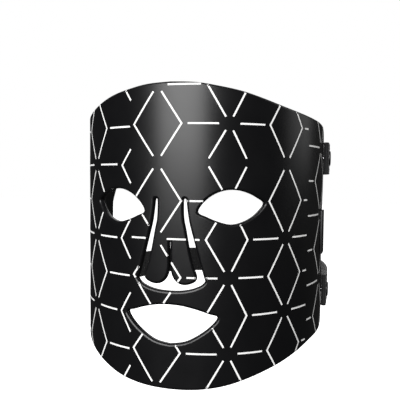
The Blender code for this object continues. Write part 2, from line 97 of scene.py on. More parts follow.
# %% Place the camera
CAMERA_PLACE = Vector((0.1099, -0.3387, 0.01785))
CAMERA_TURN = math.radians(15.0)
CAMERA_TILT = math.radians(2.9)
CAMERA_ROLL = math.radians(0.5)
camera_data = bpy.data.cameras.new("view")
camera_data.lens = 47.3
camera_data.sensor_width = 36
camera_data.clip_start = 0.01
camera = bpy.data.objects.new("view", camera_data)
scene.collection.objects.link(camera)
scene.camera = camera
backward = Vector((math.sin(CAMERA_TURN) * math.cos(CAMERA_TILT),
                   -math.cos(CAMERA_TURN) * math.cos(CAMERA_TILT), math.sin(CAMERA_TILT)))
level = Vector((math.cos(CAMERA_TURN), math.sin(CAMERA_TURN), 0))
upright = backward.cross(level)
camera_right = level * math.cos(CAMERA_ROLL) + upright * math.sin(CAMERA_ROLL)
camera_up = upright * math.cos(CAMERA_ROLL) - level * math.sin(CAMERA_ROLL)
axes = Matrix((camera_right, camera_up, backward)).transposed().to_4x4()
camera.matrix_world = Matrix.Translation(CAMERA_PLACE) @ axes
print("camera stands", round(CAMERA_PLACE.length, 3), "m from the nose")

# %% [markdown]
# ## Studio
# Black silicone is almost only reflections, so the light is shaped first. One tall soft panel
# in front draws the broad highlight down the forehead, a weak panel lifts the side of the mask,
# and the backdrop is white where the camera looks but dim where the silicone mirrors it. The
# floor glows as white as the backdrop, so that the two meet without a line.

# %% Build the backdrop and the floor
scene.view_settings.view_transform = "Standard"
BACKDROP_SEEN = 1.0
BACKDROP_MIRRORED = 0.028
BACKDROP_FILL = 0.35
world = bpy.data.worlds.new("studio")
scene.world = world
world.use_nodes = True
world_nodes = world.node_tree.nodes
world_links = world.node_tree.links
ray = world_nodes.new("ShaderNodeLightPath")


def backdrop(strength):
    """A plain white backdrop of this strength."""
    made = world_nodes.new("ShaderNodeBackground")
    made.inputs["Strength"].default_value = strength
    made.inputs["Color"].default_value = (1, 1, 1, 1)
    return made.outputs["Background"]


def choose_by(kind, when_not, when):
    """Pick a backdrop by the kind of light ray that meets it."""
    choose = world_nodes.new("ShaderNodeMixShader")
    world_links.new(ray.outputs[kind], choose.inputs["Fac"])
    world_links.new(when_not, choose.inputs[1])
    world_links.new(when, choose.inputs[2])
    return choose.outputs["Shader"]


unseen = choose_by("Is Glossy Ray", backdrop(BACKDROP_FILL), backdrop(BACKDROP_MIRRORED))
world_links.new(choose_by("Is Camera Ray", unseen, backdrop(BACKDROP_SEEN)),
                world_nodes["World Output"].inputs["Surface"])

FLOOR_SIZE = 14
FLOOR_DROP = 0.2
bpy.ops.object.select_all(action="DESELECT")
bpy.ops.mesh.primitive_plane_add(size=FLOOR_SIZE, location=(0, 0, cad_box[0].z - FLOOR_DROP))
floor = bpy.context.object
floor.name = "floor"
floor.visible_glossy = False
floor.visible_diffuse = False
floor_paint = bpy.data.materials.new("pale_floor")
floor_paint.use_nodes = True
floor_shader = floor_paint.node_tree.nodes["Principled BSDF"]
floor_shader.inputs["Base Color"].default_value = (0.9, 0.9, 0.9, 1)
floor_shader.inputs["Roughness"].default_value = 1
floor_shader.inputs["Emission Color"].default_value = (1, 1, 1, 1)
floor_shader.inputs["Emission Strength"].default_value = 1.0
floor.data.materials.append(floor_paint)

# %% [markdown]
# A soft box is an area light, and its size matters more than its power: on satin rubber it sets
# how broad the highlight is. Each panel's place is given by two angles and a distance from the
# middle of the mask, as one would walk round it with a stand.

# %% Hang the light panels
MASK_MIDDLE = Vector((0, 0.03, -0.01))


def light_panel(name, azimuth, elevation, distance, width, height, power):
    """A soft rectangular light that faces the mask; azimuth 0 is in front and 90 on its left."""
    data = bpy.data.lights.new(name, "AREA")
    data.shape = "RECTANGLE"
    data.size = width
    data.size_y = height
    data.energy = power
    panel = bpy.data.objects.new(name, data)
    scene.collection.objects.link(panel)
    turn, lift = math.radians(azimuth), math.radians(elevation)
    way = Vector((math.sin(turn) * math.cos(lift), -math.cos(turn) * math.cos(lift),
                  math.sin(lift)))
    panel.location = MASK_MIDDLE + way * distance
    panel.rotation_euler = way.to_track_quat("Z", "Y").to_euler()
    panel.visible_camera = False
    return panel


light_panel("front_panel", -7.5, 27, 1.5, 1.0, 1.35, 37)
light_panel("side_panel", 118, 24, 1.5, 0.9, 1.1, 2.8)
light_panel("rear_panel", 200, 30, 1.8, 1.6, 1.2, 9)

# %% [markdown]
# ## Modelling by hand, in code
# Blender's edit-mode operators act on whatever is selected, so each helper first selects just
# its own piece. The helpers are small: choose a piece, apply a modifier, weld, cut.

# %% Helpers for choosing, applying and welding
def choose_only(piece):
    """Make this the one selected, active object, in object mode."""
    bpy.ops.object.select_all(action="DESELECT")
    piece.select_set(True)
    bpy.context.view_layer.objects.active = piece


def apply_modifier(piece, kind, **settings):
    """Add a modifier with these settings and apply it straight away."""
    choose_only(piece)
    modifier = piece.modifiers.new(kind.lower(), kind)
    for key, value in settings.items():
        setattr(modifier, key, value)
    bpy.ops.object.modifier_apply(modifier=modifier.name)
    return piece


def cut_with(piece, cutter, operation="DIFFERENCE"):
    """Boolean a closed cutter into the piece and use the cutter up."""
    apply_modifier(piece, "BOOLEAN", operation=operation, solver="EXACT", object=cutter)
    bpy.data.objects.remove(cutter)
    return piece


def weld(piece, distance=0.002):
    """Merge points that lie together, in millimetres, and turn every face outwards."""
    choose_only(piece)
    bpy.ops.object.mode_set(mode="EDIT")
    bpy.ops.mesh.select_all(action="SELECT")
    bpy.ops.mesh.remove_doubles(threshold=distance * MM)
    bpy.ops.mesh.normals_make_consistent(inside=False)
    bpy.ops.object.mode_set(mode="OBJECT")
    reach = sum(face.center.dot(face.normal) * face.area for face in piece.data.polygons)
    if reach < 0:
        piece.data.flip_normals()
    return piece


def join_all(name, pieces):
    """Join several pieces into one object."""
    choose_only(pieces[0])
    for piece in pieces:
        piece.select_set(True)
    if len(pieces) > 1:
        bpy.ops.object.join()
    joined = bpy.context.object
    joined.name = name
    return joined


def corner_array(piece):
    """Every corner of the mesh as rows of x, y, z."""
    flat = np.zeros(len(piece.data.vertices) * 3)
    piece.data.vertices.foreach_get("co", flat)
    return flat.reshape(-1, 3)


def place_corners(piece, corners):
    """Write the rows of x, y, z back to the mesh."""
    piece.data.vertices.foreach_set("co", corners.astype(np.float32).ravel())
    piece.data.update()

# %% [markdown]
# ## The flat sheet
# On the moulding table a point of the sheet has three measures: s runs from the nose towards
# the wearer's left ear, h is the height above the eyes, and depth goes in towards the skin. In
# Blender that is x = s, y = h and z = -depth. A 2D curve with filled caps makes a plate from
# outlines, and its bevel, set back by its own size, rolls the edges without growing the plate.

# %% Helpers for outlines and plates
THICKNESS = 5.0


def smooth(points, closed=False, steps=4):
    """Catmull-Rom curve through the points."""
    count = len(points)
    result = []
    for i in range(count if closed else count - 1):
        if closed:
            around = [points[(i + k) % count] for k in (-1, 0, 1, 2)]
        else:
            around = [points[min(max(i + k, 0), count - 1)] for k in (-1, 0, 1, 2)]
        for step in range(steps):
            t = step / steps
            weights = (-t + 2 * t**2 - t**3, 2 - 5 * t**2 + 3 * t**3,
                       t + 4 * t**2 - 3 * t**3, -t**2 + t**3)
            result.append(tuple(sum(w * p[axis] for w, p in zip(weights, around)) / 2
                                for axis in (0, 1)))
    if not closed:
        result.append(points[-1])
    return result


def mirrored(loop):
    """The loop on the other side of the nose, in the opposite order."""
    return [(-x, y) for x, y in reversed(loop)]


def whole(half):
    """Close a half that starts and ends on the centre line with its mirror image."""
    return half + mirrored(half)[1:-1]


def arc(centre, radius, first, last, steps):
    """Points on an arc between two angles in degrees."""
    turns = [math.radians(first + (last - first) * i / steps) for i in range(steps + 1)]
    return [(centre[0] + radius * math.cos(a), centre[1] + radius * math.sin(a)) for a in turns]


def rounded_box(low, high, radius, steps=5):
    """A rectangle with round corners."""
    (x0, y0), (x1, y1) = low, high
    corners = [((x1 - radius, y1 - radius), 0), ((x0 + radius, y1 - radius), 90),
               ((x0 + radius, y0 + radius), 180), ((x1 - radius, y0 + radius), 270)]
    return [p for centre, turn in corners for p in arc(centre, radius, turn, turn + 90, steps)]


def grown(loop, distance):
    """The loop moved outwards by a distance, or inwards if it is negative."""
    area = sum(a[0] * b[1] - b[0] * a[1] for a, b in zip(loop, loop[1:] + loop[:1]))
    turn = 1 if area > 0 else -1
    result = []
    for i, point in enumerate(loop):
        before = (Vector(point) - Vector(loop[i - 1])).normalized()
        after = (Vector(loop[(i + 1) % len(loop)]) - Vector(point)).normalized()
        mean = (before + after).normalized()
        stretch = 1 / max(mean.dot(after), 0.7)
        result.append((point[0] + turn * mean.y * distance * stretch,
                       point[1] - turn * mean.x * distance * stretch))
    return result


def held_within(loop, limit):
    """The loop cut off straight at s = -limit and s = limit."""
    result = []
    for s, h in loop:
        point = (min(max(s, -limit), limit), h)
        held = result and abs(point[0]) == limit and result[-1][0] == point[0]
        if held and len(result) > 1 and result[-2][0] == point[0]:
            result[-1] = point
        else:
            result.append(point)
    return result


def plate(name, loops, near, far, round_edge=0.0, round_steps=3):
    """A closed flat plate between two depths; the first loop is its outline, the rest are holes."""
    curve = bpy.data.curves.new(name, "CURVE")
    curve.dimensions = "2D"
    curve.fill_mode = "BOTH"
    curve.extrude = ((far - near) / 2 - round_edge) * MM
    curve.bevel_depth = round_edge * MM
    curve.bevel_resolution = round_steps
    curve.offset = -round_edge * MM
    for loop in loops:
        spline = curve.splines.new("POLY")
        spline.points.add(len(loop) - 1)
        spline.use_cyclic_u = True
        for point, (x, y) in zip(spline.points, loop):
            point.co = (x * MM, y * MM, 0, 1)
    piece = bpy.data.objects.new(name, curve)
    scene.collection.objects.link(piece)
    choose_only(piece)
    bpy.ops.object.convert(target="MESH")
    piece = bpy.context.object
    piece.name = name
    weld(piece)
    piece.data.transform(Matrix.Translation((0, 0, -(near + far) / 2 * MM)))
    return piece


def block(name, low, high, round_edge=0.0, round_steps=2):
    """A box between two corners given as (s, h, depth), its edges bevelled."""
    middle = [(a + b) / 2 * MM for a, b in zip(low, high)]
    bpy.ops.object.select_all(action="DESELECT")
    bpy.ops.mesh.primitive_cube_add(size=1)
    piece = bpy.context.object
    piece.name = name
    piece.data.transform(Matrix.Diagonal([(b - a) * MM for a, b in zip(low, high)] + [1]))
    piece.data.transform(Matrix.Translation((middle[0], middle[1], -middle[2])))
    if round_edge:
        apply_modifier(piece, "BEVEL", width=round_edge * MM, segments=round_steps)
    return piece

# %% [markdown]
# ## Laying a flat piece along a curve
# A track is a row of places with a direction inwards at each. Laying a piece cuts it across at
# even spaces, so that it can bend, and then moves each corner to its place on the track. The
# shading directions are taken from the flat piece, where they are exact, and turned with it: a
# long cut triangle would otherwise show as a dent in the gloss.

# %% Make the track round the face
HALF_WIDTH = 92.6
WRAP_DEPTH = 108.0
SIDE_POWER = 2.17
FRONT_POWER = 2.28
TAIL = 16.0


def make_track(x, y, spacing=0.5):
    """Even places along a line of points in millimetres, with the direction in at each."""
    along = np.concatenate([[0], np.cumsum(np.hypot(np.diff(x), np.diff(y)))])
    even = np.linspace(0, along[-1], int(along[-1] / spacing) + 1)
    x, y = np.interp(even, along, x), np.interp(even, along, y)
    run_x, run_y = np.gradient(x), np.gradient(y)
    length = np.hypot(run_x, run_y)
    return {"along": even, "x": x, "y": y, "in_x": -run_y / length, "in_y": run_x / length,
            "up": 1}


def face_track():
    """The wrap: a full, squarish half oval, and straight runs behind it."""
    angle = np.linspace(0, math.pi / 2, 8001)
    x = HALF_WIDTH * np.sin(angle) ** (2 / SIDE_POWER)
    y = WRAP_DEPTH * (1 - np.cos(angle) ** (2 / FRONT_POWER)) - THICKNESS
    x, y = np.append(x, HALF_WIDTH), np.append(y, y[-1] + TAIL)
    track = make_track(np.concatenate([-x[::-1], x[1:]]), np.concatenate([y[::-1], y[1:]]))
    track["along"] -= track["along"][-1] / 2
    return track


FACE = face_track()
WRAP_LENGTH = FACE["along"][-1] - TAIL
print("half of the wrap is", round(WRAP_LENGTH, 2), "mm long")

# %% [markdown]
# A Curve modifier could bend a flat piece too. A table of places is used instead, because it
# keeps every length along the sheet, and turns the shading directions in the same step.

# %% Helpers for cutting across and laying
FLAT_WEIGHT = 1000
LEVEL_NORMAL = 0.999
UV_UNIT = 0.1


def slice_piece(piece, spacing_s, spacing_h=None, within=None):
    """Cut the flat piece along even lines, so that it has corners where it has to bend."""
    corners = corner_array(piece) / MM
    choose_only(piece)
    bpy.ops.object.mode_set(mode="EDIT")
    for axis, spacing in ((0, spacing_s), (1, spacing_h)):
        if spacing is None:
            continue
        first = math.floor(corners[:, axis].min() / spacing) + 1
        last = math.ceil(corners[:, axis].max() / spacing)
        if within:
            first, last = math.floor(within[0] / spacing) + 1, math.ceil(within[1] / spacing)
        for k in range(first, last):
            spot = [0, 0, 0]
            way = [0, 0, 0]
            spot[axis] = k * spacing * MM
            way[axis] = 1
            bpy.ops.mesh.select_all(action="SELECT")
            bpy.ops.mesh.bisect(plane_co=spot, plane_no=way, threshold=1e-7)
    bpy.ops.object.mode_set(mode="OBJECT")
    return piece


def keep_flat_shading(piece):
    """Remember the flat piece's shading directions: faces that lie flat outweigh rounded ones."""
    mesh = piece.data
    weights = np.zeros((len(mesh.vertices), 3))
    for face in mesh.polygons:
        size = face.area * (FLAT_WEIGHT if abs(face.normal.z) > LEVEL_NORMAL else 1)
        weights[list(face.vertices)] += np.array(face.normal) * size
    length = np.linalg.norm(weights, axis=1)
    weights[length > 0] /= length[length > 0][:, None]
    stored = mesh.attributes.new("flat_direction", "FLOAT_VECTOR", "POINT")
    stored.data.foreach_set("vector", weights.ravel())
    return piece


def lay(piece, track, lift=0.0):
    """Move the flat piece on to the track; its flat place is kept as a UV map."""
    mesh = piece.data
    corners = corner_array(piece)
    uv = mesh.uv_layers.get("flat") or mesh.uv_layers.new(name="flat")
    corner_of = np.zeros(len(mesh.loops), int)
    mesh.loops.foreach_get("vertex_index", corner_of)
    uv.data.foreach_set("uv", (corners[corner_of, :2] / UV_UNIT).ravel())
    s, h, depth = corners[:, 0] / MM, corners[:, 1], -corners[:, 2]
    at = {key: np.interp(s, track["along"], track[key]) for key in ("x", "y", "in_x", "in_y")}
    up = track["up"]
    place_corners(piece, np.column_stack([at["x"] * MM + at["in_x"] * depth,
                                          at["y"] * MM + at["in_y"] * depth,
                                          up * h + lift * MM]))
    stored = mesh.attributes.get("flat_direction")
    if stored:
        way = np.zeros(len(mesh.vertices) * 3)
        stored.data.foreach_get("vector", way)
        way = way.reshape(-1, 3)
        turned_way = np.column_stack([up * way[:, 0] * at["in_y"] - way[:, 2] * at["in_x"],
                                      -up * way[:, 0] * at["in_x"] - way[:, 2] * at["in_y"],
                                      up * way[:, 1]])
        mesh.attributes.remove(stored)
        choose_only(piece)
        bpy.ops.object.shade_smooth()
        mesh.normals_split_custom_set_from_vertices([tuple(row) for row in turned_way])
    return piece


def finish_piece(piece, finish, body=None, stands_for=(), smooth_angle=None):
    """Give a piece its finish and its body, and hide the CAD nodes that it stands for."""
    if smooth_angle:
        choose_only(piece)
        bpy.ops.object.shade_smooth_by_angle(angle=math.radians(smooth_angle))
    piece.data.materials.clear()
    piece.data.materials.append(finish)
    if body:
        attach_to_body(piece, body)
    if stands_for:
        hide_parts(*stands_for)
    faces = len(piece.data.polygons)
    print(f"{piece.name}: {faces} faces")
    return piece

# %% [markdown]
# ## Finishes
# A small kit of node helpers keeps each finish short. Grain and weave are noise and wave
# textures read from Object coordinates or from the flat UV map, and they drive colour,
# roughness and bump. Whatever is even all over is set on the shader itself.

# %% Helpers for finishes
def new_finish(name, colour, roughness, **even):
    """A material with one Principled shader; returns it with its node tree and shader."""
    made = bpy.data.materials.new(name)
    made.use_nodes = True
    made.diffuse_color = (*colour, 1)
    shader = made.node_tree.nodes["Principled BSDF"]
    shader.inputs["Base Color"].default_value = (*colour, 1)
    shader.inputs["Roughness"].default_value = roughness
    for key, value in even.items():
        shader.inputs[key.replace("_", " ").title().replace("Ior", "IOR")].default_value = value
    return made, made.node_tree, shader


def node(tree, kind, **inputs):
    """Add a node and set or link its inputs, which are named in lower case."""
    made = tree.nodes.new("ShaderNode" + kind)
    for key, value in inputs.items():
        socket = made.inputs[key.replace("_", " ").title()]
        if isinstance(value, bpy.types.NodeSocket):
            tree.links.new(value, socket)
        else:
            socket.default_value = value
    return made


def object_place(tree):
    """The point's own place on the object, in metres."""
    return node(tree, "TexCoord").outputs["Object"]


def spread(tree, factor, low, high):
    """Turn a 0 to 1 pattern into a range of numbers."""
    ranged = node(tree, "MapRange", value=factor)
    ranged.inputs["To Min"].default_value = low
    ranged.inputs["To Max"].default_value = high
    return ranged.outputs["Result"]


def blend_colours(tree, factor, first, second):
    """Blend two colours by a pattern."""
    ramp = node(tree, "ValToRGB", fac=factor)
    ramp.color_ramp.elements[0].color = (*first, 1)
    ramp.color_ramp.elements[1].color = (*second, 1)
    return ramp.outputs["Color"]


def bump(tree, shader, height, strength, distance):
    """Raise the surface's shading by a pattern."""
    raised = node(tree, "Bump", height=height, strength=strength, distance=distance)
    tree.links.new(raised.outputs["Normal"], shader.inputs["Normal"])

# %% [markdown]
# Moulded silicone is satin: it mirrors a panel as a broad soft glow. A coarse noise gives the
# handling marks in its roughness, and a very fine one the grain of the mould. The ink is matt
# white. The clear liner is the same rubber without pigment, so it lets light through, and
# frost in its roughness half hides the LED boards.

# %% Silicone, print and clear silicone
def black_silicone():
    """Satin black rubber: a moulded skin with a very fine grain and faint handling marks."""
    made, tree, shader = new_finish("satin_black_silicone", (0.0035, 0.0035, 0.004), 0.3)
    shader.inputs["Specular IOR Level"].default_value = 0.42
    place = object_place(tree)
    marks = node(tree, "TexNoise", vector=place, scale=38, detail=4, roughness=0.6)
    grain = node(tree, "TexNoise", vector=place, scale=2600, detail=2)
    tree.links.new(spread(tree, marks.outputs["Fac"], 0.27, 0.35), shader.inputs["Roughness"])
    tree.links.new(blend_colours(tree, marks.outputs["Fac"], (0.0025, 0.0025, 0.003),
                                 (0.005, 0.005, 0.0055)), shader.inputs["Base Color"])
    bump(tree, shader, grain.outputs["Fac"], 0.12, 0.00005)
    return made


def white_print():
    """Matt white silicone ink, slightly thin in places."""
    made, tree, shader = new_finish("white_silicone_ink", (0.82, 0.82, 0.81), 0.5)
    place = object_place(tree)
    cover = node(tree, "TexNoise", vector=place, scale=420, detail=3)
    tree.links.new(blend_colours(tree, cover.outputs["Fac"], (0.74, 0.74, 0.73),
                                 (0.9, 0.9, 0.89)), shader.inputs["Base Color"])
    bump(tree, shader, cover.outputs["Fac"], 0.2, 0.00004)
    return made


def clear_silicone():
    """Frosted clear rubber, cloudy enough to spread the light of the LEDs behind it."""
    made, tree, shader = new_finish("frosted_clear_silicone", (0.9, 0.92, 0.94), 0.16)
    shader.inputs["Transmission Weight"].default_value = 0.9
    shader.inputs["IOR"].default_value = 1.41
    place = object_place(tree)
    frost = node(tree, "TexNoise", vector=place, scale=900, detail=3)
    clouds = node(tree, "TexNoise", vector=place, scale=60, detail=2)
    tree.links.new(spread(tree, frost.outputs["Fac"], 0.1, 0.24), shader.inputs["Roughness"])
    tree.links.new(blend_colours(tree, clouds.outputs["Fac"], (0.86, 0.88, 0.9),
                                 (0.95, 0.96, 0.97)), shader.inputs["Base Color"])
    bump(tree, shader, frost.outputs["Fac"], 0.15, 0.00006)
    return made


SILICONE = black_silicone()
PRINT = white_print()
CLEAR = clear_silicone()

# %% [markdown]
# Webbing is a rib weave: lengthwise ribs crossed by finer picks, on the flat UV map so that it
# follows the strap round its bends. A wave texture turns through 20 radians in one unit of the
# map at scale 1, which gives the scale for any period in millimetres.

# %% Webbing, thread and tape
WAVE_RATE = 20


def waves(tree, place, direction, period):
    """A band pattern that repeats every so many millimetres of the flat map."""
    turns = UV_UNIT / MM / period
    made = node(tree, "TexWave", vector=place, scale=2 * math.pi / WAVE_RATE * turns)
    made.bands_direction = direction
    return made.outputs["Fac"]


def flat_place(tree):
    """The point's place on the flat pattern, kept as a UV map."""
    made = tree.nodes.new("ShaderNodeUVMap")
    made.uv_map = "flat"
    return made.outputs["UV"]


def combine_patterns(tree, first, second, operation):
    """Multiply or add two patterns."""
    made = tree.nodes.new("ShaderNodeMath")
    made.operation = operation
    tree.links.new(first, made.inputs[0])
    tree.links.new(second, made.inputs[1])
    return made.outputs["Value"]


def woven_elastic():
    """Black elastic webbing: 1.6 mm ribs, 0.9 mm picks and fluff, with a painted highlight: the
    colour is lighter where they stand higher.
    """
    made, tree, shader = new_finish("black_elastic_webbing", (0.014, 0.014, 0.015), 0.8)
    shader.inputs["Sheen Weight"].default_value = 0.2
    shader.inputs["Sheen Roughness"].default_value = 0.45
    place = flat_place(tree)
    ribs = waves(tree, place, "Y", 1.6)
    picks = waves(tree, place, "X", 0.9)
    weave = combine_patterns(tree, ribs, picks, "MULTIPLY")
    fluff = node(tree, "TexNoise", vector=object_place(tree), scale=1500, detail=3)
    height = combine_patterns(tree, weave, spread(tree, fluff.outputs["Fac"], 0, 0.35), "ADD")
    # Painted highlight: the base colour is lighter where the weave and the fluff stand higher.
    tree.links.new(blend_colours(tree, height, (0.004, 0.004, 0.0045), (0.022, 0.022, 0.023)),
                   shader.inputs["Base Color"])
    tree.links.new(spread(tree, height, 0.92, 0.66), shader.inputs["Roughness"])
    bump(tree, shader, height, 0.55, 0.00022)
    return made


def sewing_thread():
    """Bonded black thread, a little glossier than the webbing."""
    made, tree, shader = new_finish("black_sewing_thread", (0.03, 0.03, 0.032), 0.55)
    twist = node(tree, "TexNoise", vector=object_place(tree), scale=2400, detail=2)
    tree.links.new(blend_colours(tree, twist.outputs["Fac"], (0.018, 0.018, 0.019),
                                 (0.055, 0.055, 0.057)), shader.inputs["Base Color"])
    bump(tree, shader, twist.outputs["Fac"], 0.5, 0.0001)
    return made


def tape(name, colour, scale, depth):
    """Hook or loop tape: a bed of tiny hooks or a tangled pile."""
    made, tree, shader = new_finish(name, colour, 0.9)
    shader.inputs["Sheen Weight"].default_value = 0.4
    pile = node(tree, "TexVoronoi", vector=object_place(tree), scale=scale)
    tree.links.new(blend_colours(tree, pile.outputs["Distance"], [c * 1.6 for c in colour],
                                 [c * 0.5 for c in colour]), shader.inputs["Base Color"])
    bump(tree, shader, pile.outputs["Distance"], 0.9, depth)
    return made


WEBBING = woven_elastic()
THREAD_FINISH = sewing_thread()
HOOK_TAPE = tape("hook_tape", (0.018, 0.018, 0.02), 900, 0.0005)
LOOP_TAPE = tape("loop_tape", (0.024, 0.024, 0.026), 1800, 0.0003)

# %% [markdown]
# The inlet's plastic has the fine matt grain of a spark-eroded mould. The snaps are steel,
# plated or lacquered, and rubbing shows in their roughness. The LED boards are a white film with
# copper lines that show through faintly, and each LED is a spot of yellow phosphor under a
# clear coat.

# %% Plastic, steel and circuit
def moulded_plastic():
    """Black plastic with a fine spark-eroded grain."""
    made, tree, shader = new_finish("black_moulded_plastic", (0.012, 0.012, 0.013), 0.42)
    place = object_place(tree)
    grain = node(tree, "TexNoise", vector=place, scale=1700, detail=3)
    wear = node(tree, "TexNoise", vector=place, scale=70, detail=4)
    tree.links.new(spread(tree, wear.outputs["Fac"], 0.34, 0.52), shader.inputs["Roughness"])
    tree.links.new(blend_colours(tree, wear.outputs["Fac"], (0.008, 0.008, 0.009),
                                 (0.018, 0.018, 0.019)), shader.inputs["Base Color"])
    bump(tree, shader, grain.outputs["Fac"], 0.3, 0.00008)
    return made


def plated(name, colour, roughness, metallic):
    """Nickel plating or lacquer over steel, with faint rubbing marks."""
    made, tree, shader = new_finish(name, colour, roughness, metallic=metallic)
    rub = node(tree, "TexNoise", vector=object_place(tree), scale=260, detail=5)
    tree.links.new(spread(tree, rub.outputs["Fac"], roughness * 0.7, roughness * 1.4),
                   shader.inputs["Roughness"])
    tree.links.new(blend_colours(tree, rub.outputs["Fac"], [c * 0.85 for c in colour],
                                 [min(c * 1.12, 1) for c in colour]), shader.inputs["Base Color"])
    return made


def circuit_film():
    """White solder mask over a flexible film, with the copper lines showing faintly."""
    made, tree, shader = new_finish("white_flex_circuit", (0.78, 0.78, 0.75), 0.45)
    place = object_place(tree)
    lines = node(tree, "TexWave", vector=place, scale=60, distortion=3, detail=1)
    stain = node(tree, "TexNoise", vector=place, scale=140, detail=3)
    traced = combine_patterns(tree, lines.outputs["Fac"], stain.outputs["Fac"], "MULTIPLY")
    tree.links.new(blend_colours(tree, traced, (0.8, 0.8, 0.77), (0.66, 0.64, 0.56)),
                   shader.inputs["Base Color"])
    bump(tree, shader, lines.outputs["Fac"], 0.25, 0.00005)
    return made


def phosphor_lens():
    """The yellow phosphor under a LED's clear lens."""
    made, tree, shader = new_finish("led_phosphor", (0.85, 0.62, 0.12), 0.25)
    shader.inputs["Coat Weight"].default_value = 0.6
    speck = node(tree, "TexNoise", vector=object_place(tree), scale=1800, detail=2)
    tree.links.new(blend_colours(tree, speck.outputs["Fac"], (0.75, 0.5, 0.08),
                                 (0.95, 0.75, 0.2)), shader.inputs["Base Color"])
    return made


PLASTIC = moulded_plastic()
STEEL = plated("nickel_plated_steel", (0.62, 0.62, 0.64), 0.25, 1.0)
LACQUER = plated("black_lacquered_steel", (0.012, 0.012, 0.013), 0.35, 0.0)
CIRCUIT = circuit_film()
PHOSPHOR = phosphor_lens()

# %% [markdown]
# ## Outlines of the mask
# These are the mould's lines: the sheet's edge, the openings for eyes and mouth, and the nose
# window with its flap. The flap hangs from a crease at the bridge and parts into two lobes, so
# that a nose of any size can push it out.

# %% Draw the outlines
BRIDGE_H = 3.4
LOBE_H = -24.0
SLIT_HALF = 0.35
REAR_BAND = 142.0
MASK_HALF = [(0, 80.2), (17, 79.4), (32, 77.1), (47, 74.4), (62, 70.7), (78, 66.9), (95, 64.1),
             (115, 62), (137, 60.6), (156, 59.2), (166, 56.4), (170.7, 51.5), (172, 46), (172, 39),
             (172, 31), (172, 24), (171, 15), (168, 7), (163, -1), (161.5, -8), (161.5, -38),
             (162.4, -50), (167.5, -58.5), (171, -66), (172, -74), (172, -83), (169.3, -92.5),
             (160, -98.8), (140, -99.6), (118, -100.2), (99, -103.6), (82, -107.6), (66, -111.6),
             (51, -115.6), (38, -118.8), (24, -121), (12, -122), (0, -122.3)]
EYE = [(18.8, -4.1), (23, 2.6), (29.8, 7.6), (37.6, 10.1), (45.4, 10.1), (53.2, 8.1),
       (60.1, 4.9), (64.7, 1.7), (61.6, -2.5), (56.2, -6.9), (48.7, -10.5), (40.5, -12.1),
       (31.7, -10.1), (24.4, -7.2)]
MOUTH_HALF = [(0, -65.6), (8.9, -66.2), (18.8, -68.4), (26.7, -71), (32.3, -72.9), (29.2, -77.9),
              (21.1, -84.3), (10.7, -89.8), (0, -91.7)]
WINDOW_SIDE = [(11, BRIDGE_H), (11.7, -3), (13, -11), (15.1, -19), (17.6, -28), (20.4, -38),
               (23.9, -49.4)]
WINDOW_SMILE = [(23.9, -49.4), (21.4, -52), (15.5, -54.5), (8, -56), (0, -56.4)]
FLAP_SIDE = [(9, BRIDGE_H), (9.3, -8), (10.9, -16), (12.4, LOBE_H)]
LOBE_OUTER = [(12.4, LOBE_H), (14.1, -32), (16.2, -40), (18.4, -46), (17.6, -49.5),
              (13.6, -51.6), (9.4, -52.2), (5.8, -51.2), (2.7, -48.4), (1, -44.6),
              (SLIT_HALF, -40.3)]
edge_loop = whole(smooth(MASK_HALF))
eye_loops = [smooth(EYE, closed=True), mirrored(smooth(EYE, closed=True))]
mouth_loop = whole(smooth(MOUTH_HALF))
window_half = smooth(WINDOW_SIDE)[:-1] + smooth(WINDOW_SMILE)
window_loop = whole([(0, BRIDGE_H)] + window_half)
flap_half = smooth(FLAP_SIDE + LOBE_OUTER[1:])
slit_width = WINDOW_SIDE[0][0] - FLAP_SIDE[0][0]
slit_end = arc((FLAP_SIDE[0][0] + slit_width / 2, BRIDGE_H), slit_width / 2, 180, 0, 6)[1:-1]
nose_cut = whole([(0, LOBE_H + 0.1), (SLIT_HALF, LOBE_H - 0.3)] + flap_half[::-1] + slit_end
                 + window_half)
skin_loops = [edge_loop, *eye_loops, mouth_loop, nose_cut]
print("outline points:", [len(loop) for loop in skin_loops])

# %% [markdown]
# ## The silicone skin
# The skin is one moulding, so it starts as one plate with rolled edges. Shallow pockets in its
# inner face hold the LED boards and the clear liner, and a notch at the left rear edge holds
# the power inlet.

# %% Mould the skin
SKIN_ROUND = 1.9
SKIN_FRONT = 1.6
POCKET_EDGE = 2.4
SHEET_SLICE_S = 3.0
SHEET_SLICE_H = 6.0
INLET_H = -23.0
INLET_HALF = 13.7
INLET_FRONT = 146.3
INLET_REAR = 161.2
NOTCH_GAP = 0.3


def inner_loops(edge, limit):
    """The outlines inside each body's rim, this far in from its edges."""
    flap = smooth(grown(FLAP_SIDE + mirrored(FLAP_SIDE), -edge)[:len(FLAP_SIDE)])
    lobe = grown([(SLIT_HALF, LOBE_H)] + LOBE_OUTER, -edge)
    lobe = lobe[:1] + smooth(lobe[1:])
    holes = [grown(loop, edge) for loop in (*eye_loops, mouth_loop, window_loop)]
    return {"mask": [held_within(grown(edge_loop, -edge), limit)] + holes,
            "nose_flap": [flap + mirrored(flap)], "left_lobe": [lobe],
            "right_lobe": [mirrored(lobe)]}


skin = plate("cover_skin", skin_loops, 0, THICKNESS, SKIN_ROUND, 4)
for body, loops in inner_loops(POCKET_EDGE, REAR_BAND).items():
    cut_with(skin, plate(body + "_pocket", loops, SKIN_FRONT, THICKNESS + 1))
cut_with(skin, block("notch", (INLET_FRONT - NOTCH_GAP, INLET_H - INLET_HALF - NOTCH_GAP, -1),
                     (INLET_REAR + 3, INLET_H + INLET_HALF + NOTCH_GAP, THICKNESS + 1)))
weld(skin)
slice_piece(skin, SHEET_SLICE_S, SHEET_SLICE_H)
print("skin before it is parted:", len(skin.data.polygons), "faces")

# %% [markdown]
# The skin is parted where it bends: along the crease at the bridge and where the lobes begin.
# The crease is cut after the shading directions are kept, so the parted pieces still shade as
# one moulding. Each part is closed with a face over its cut.

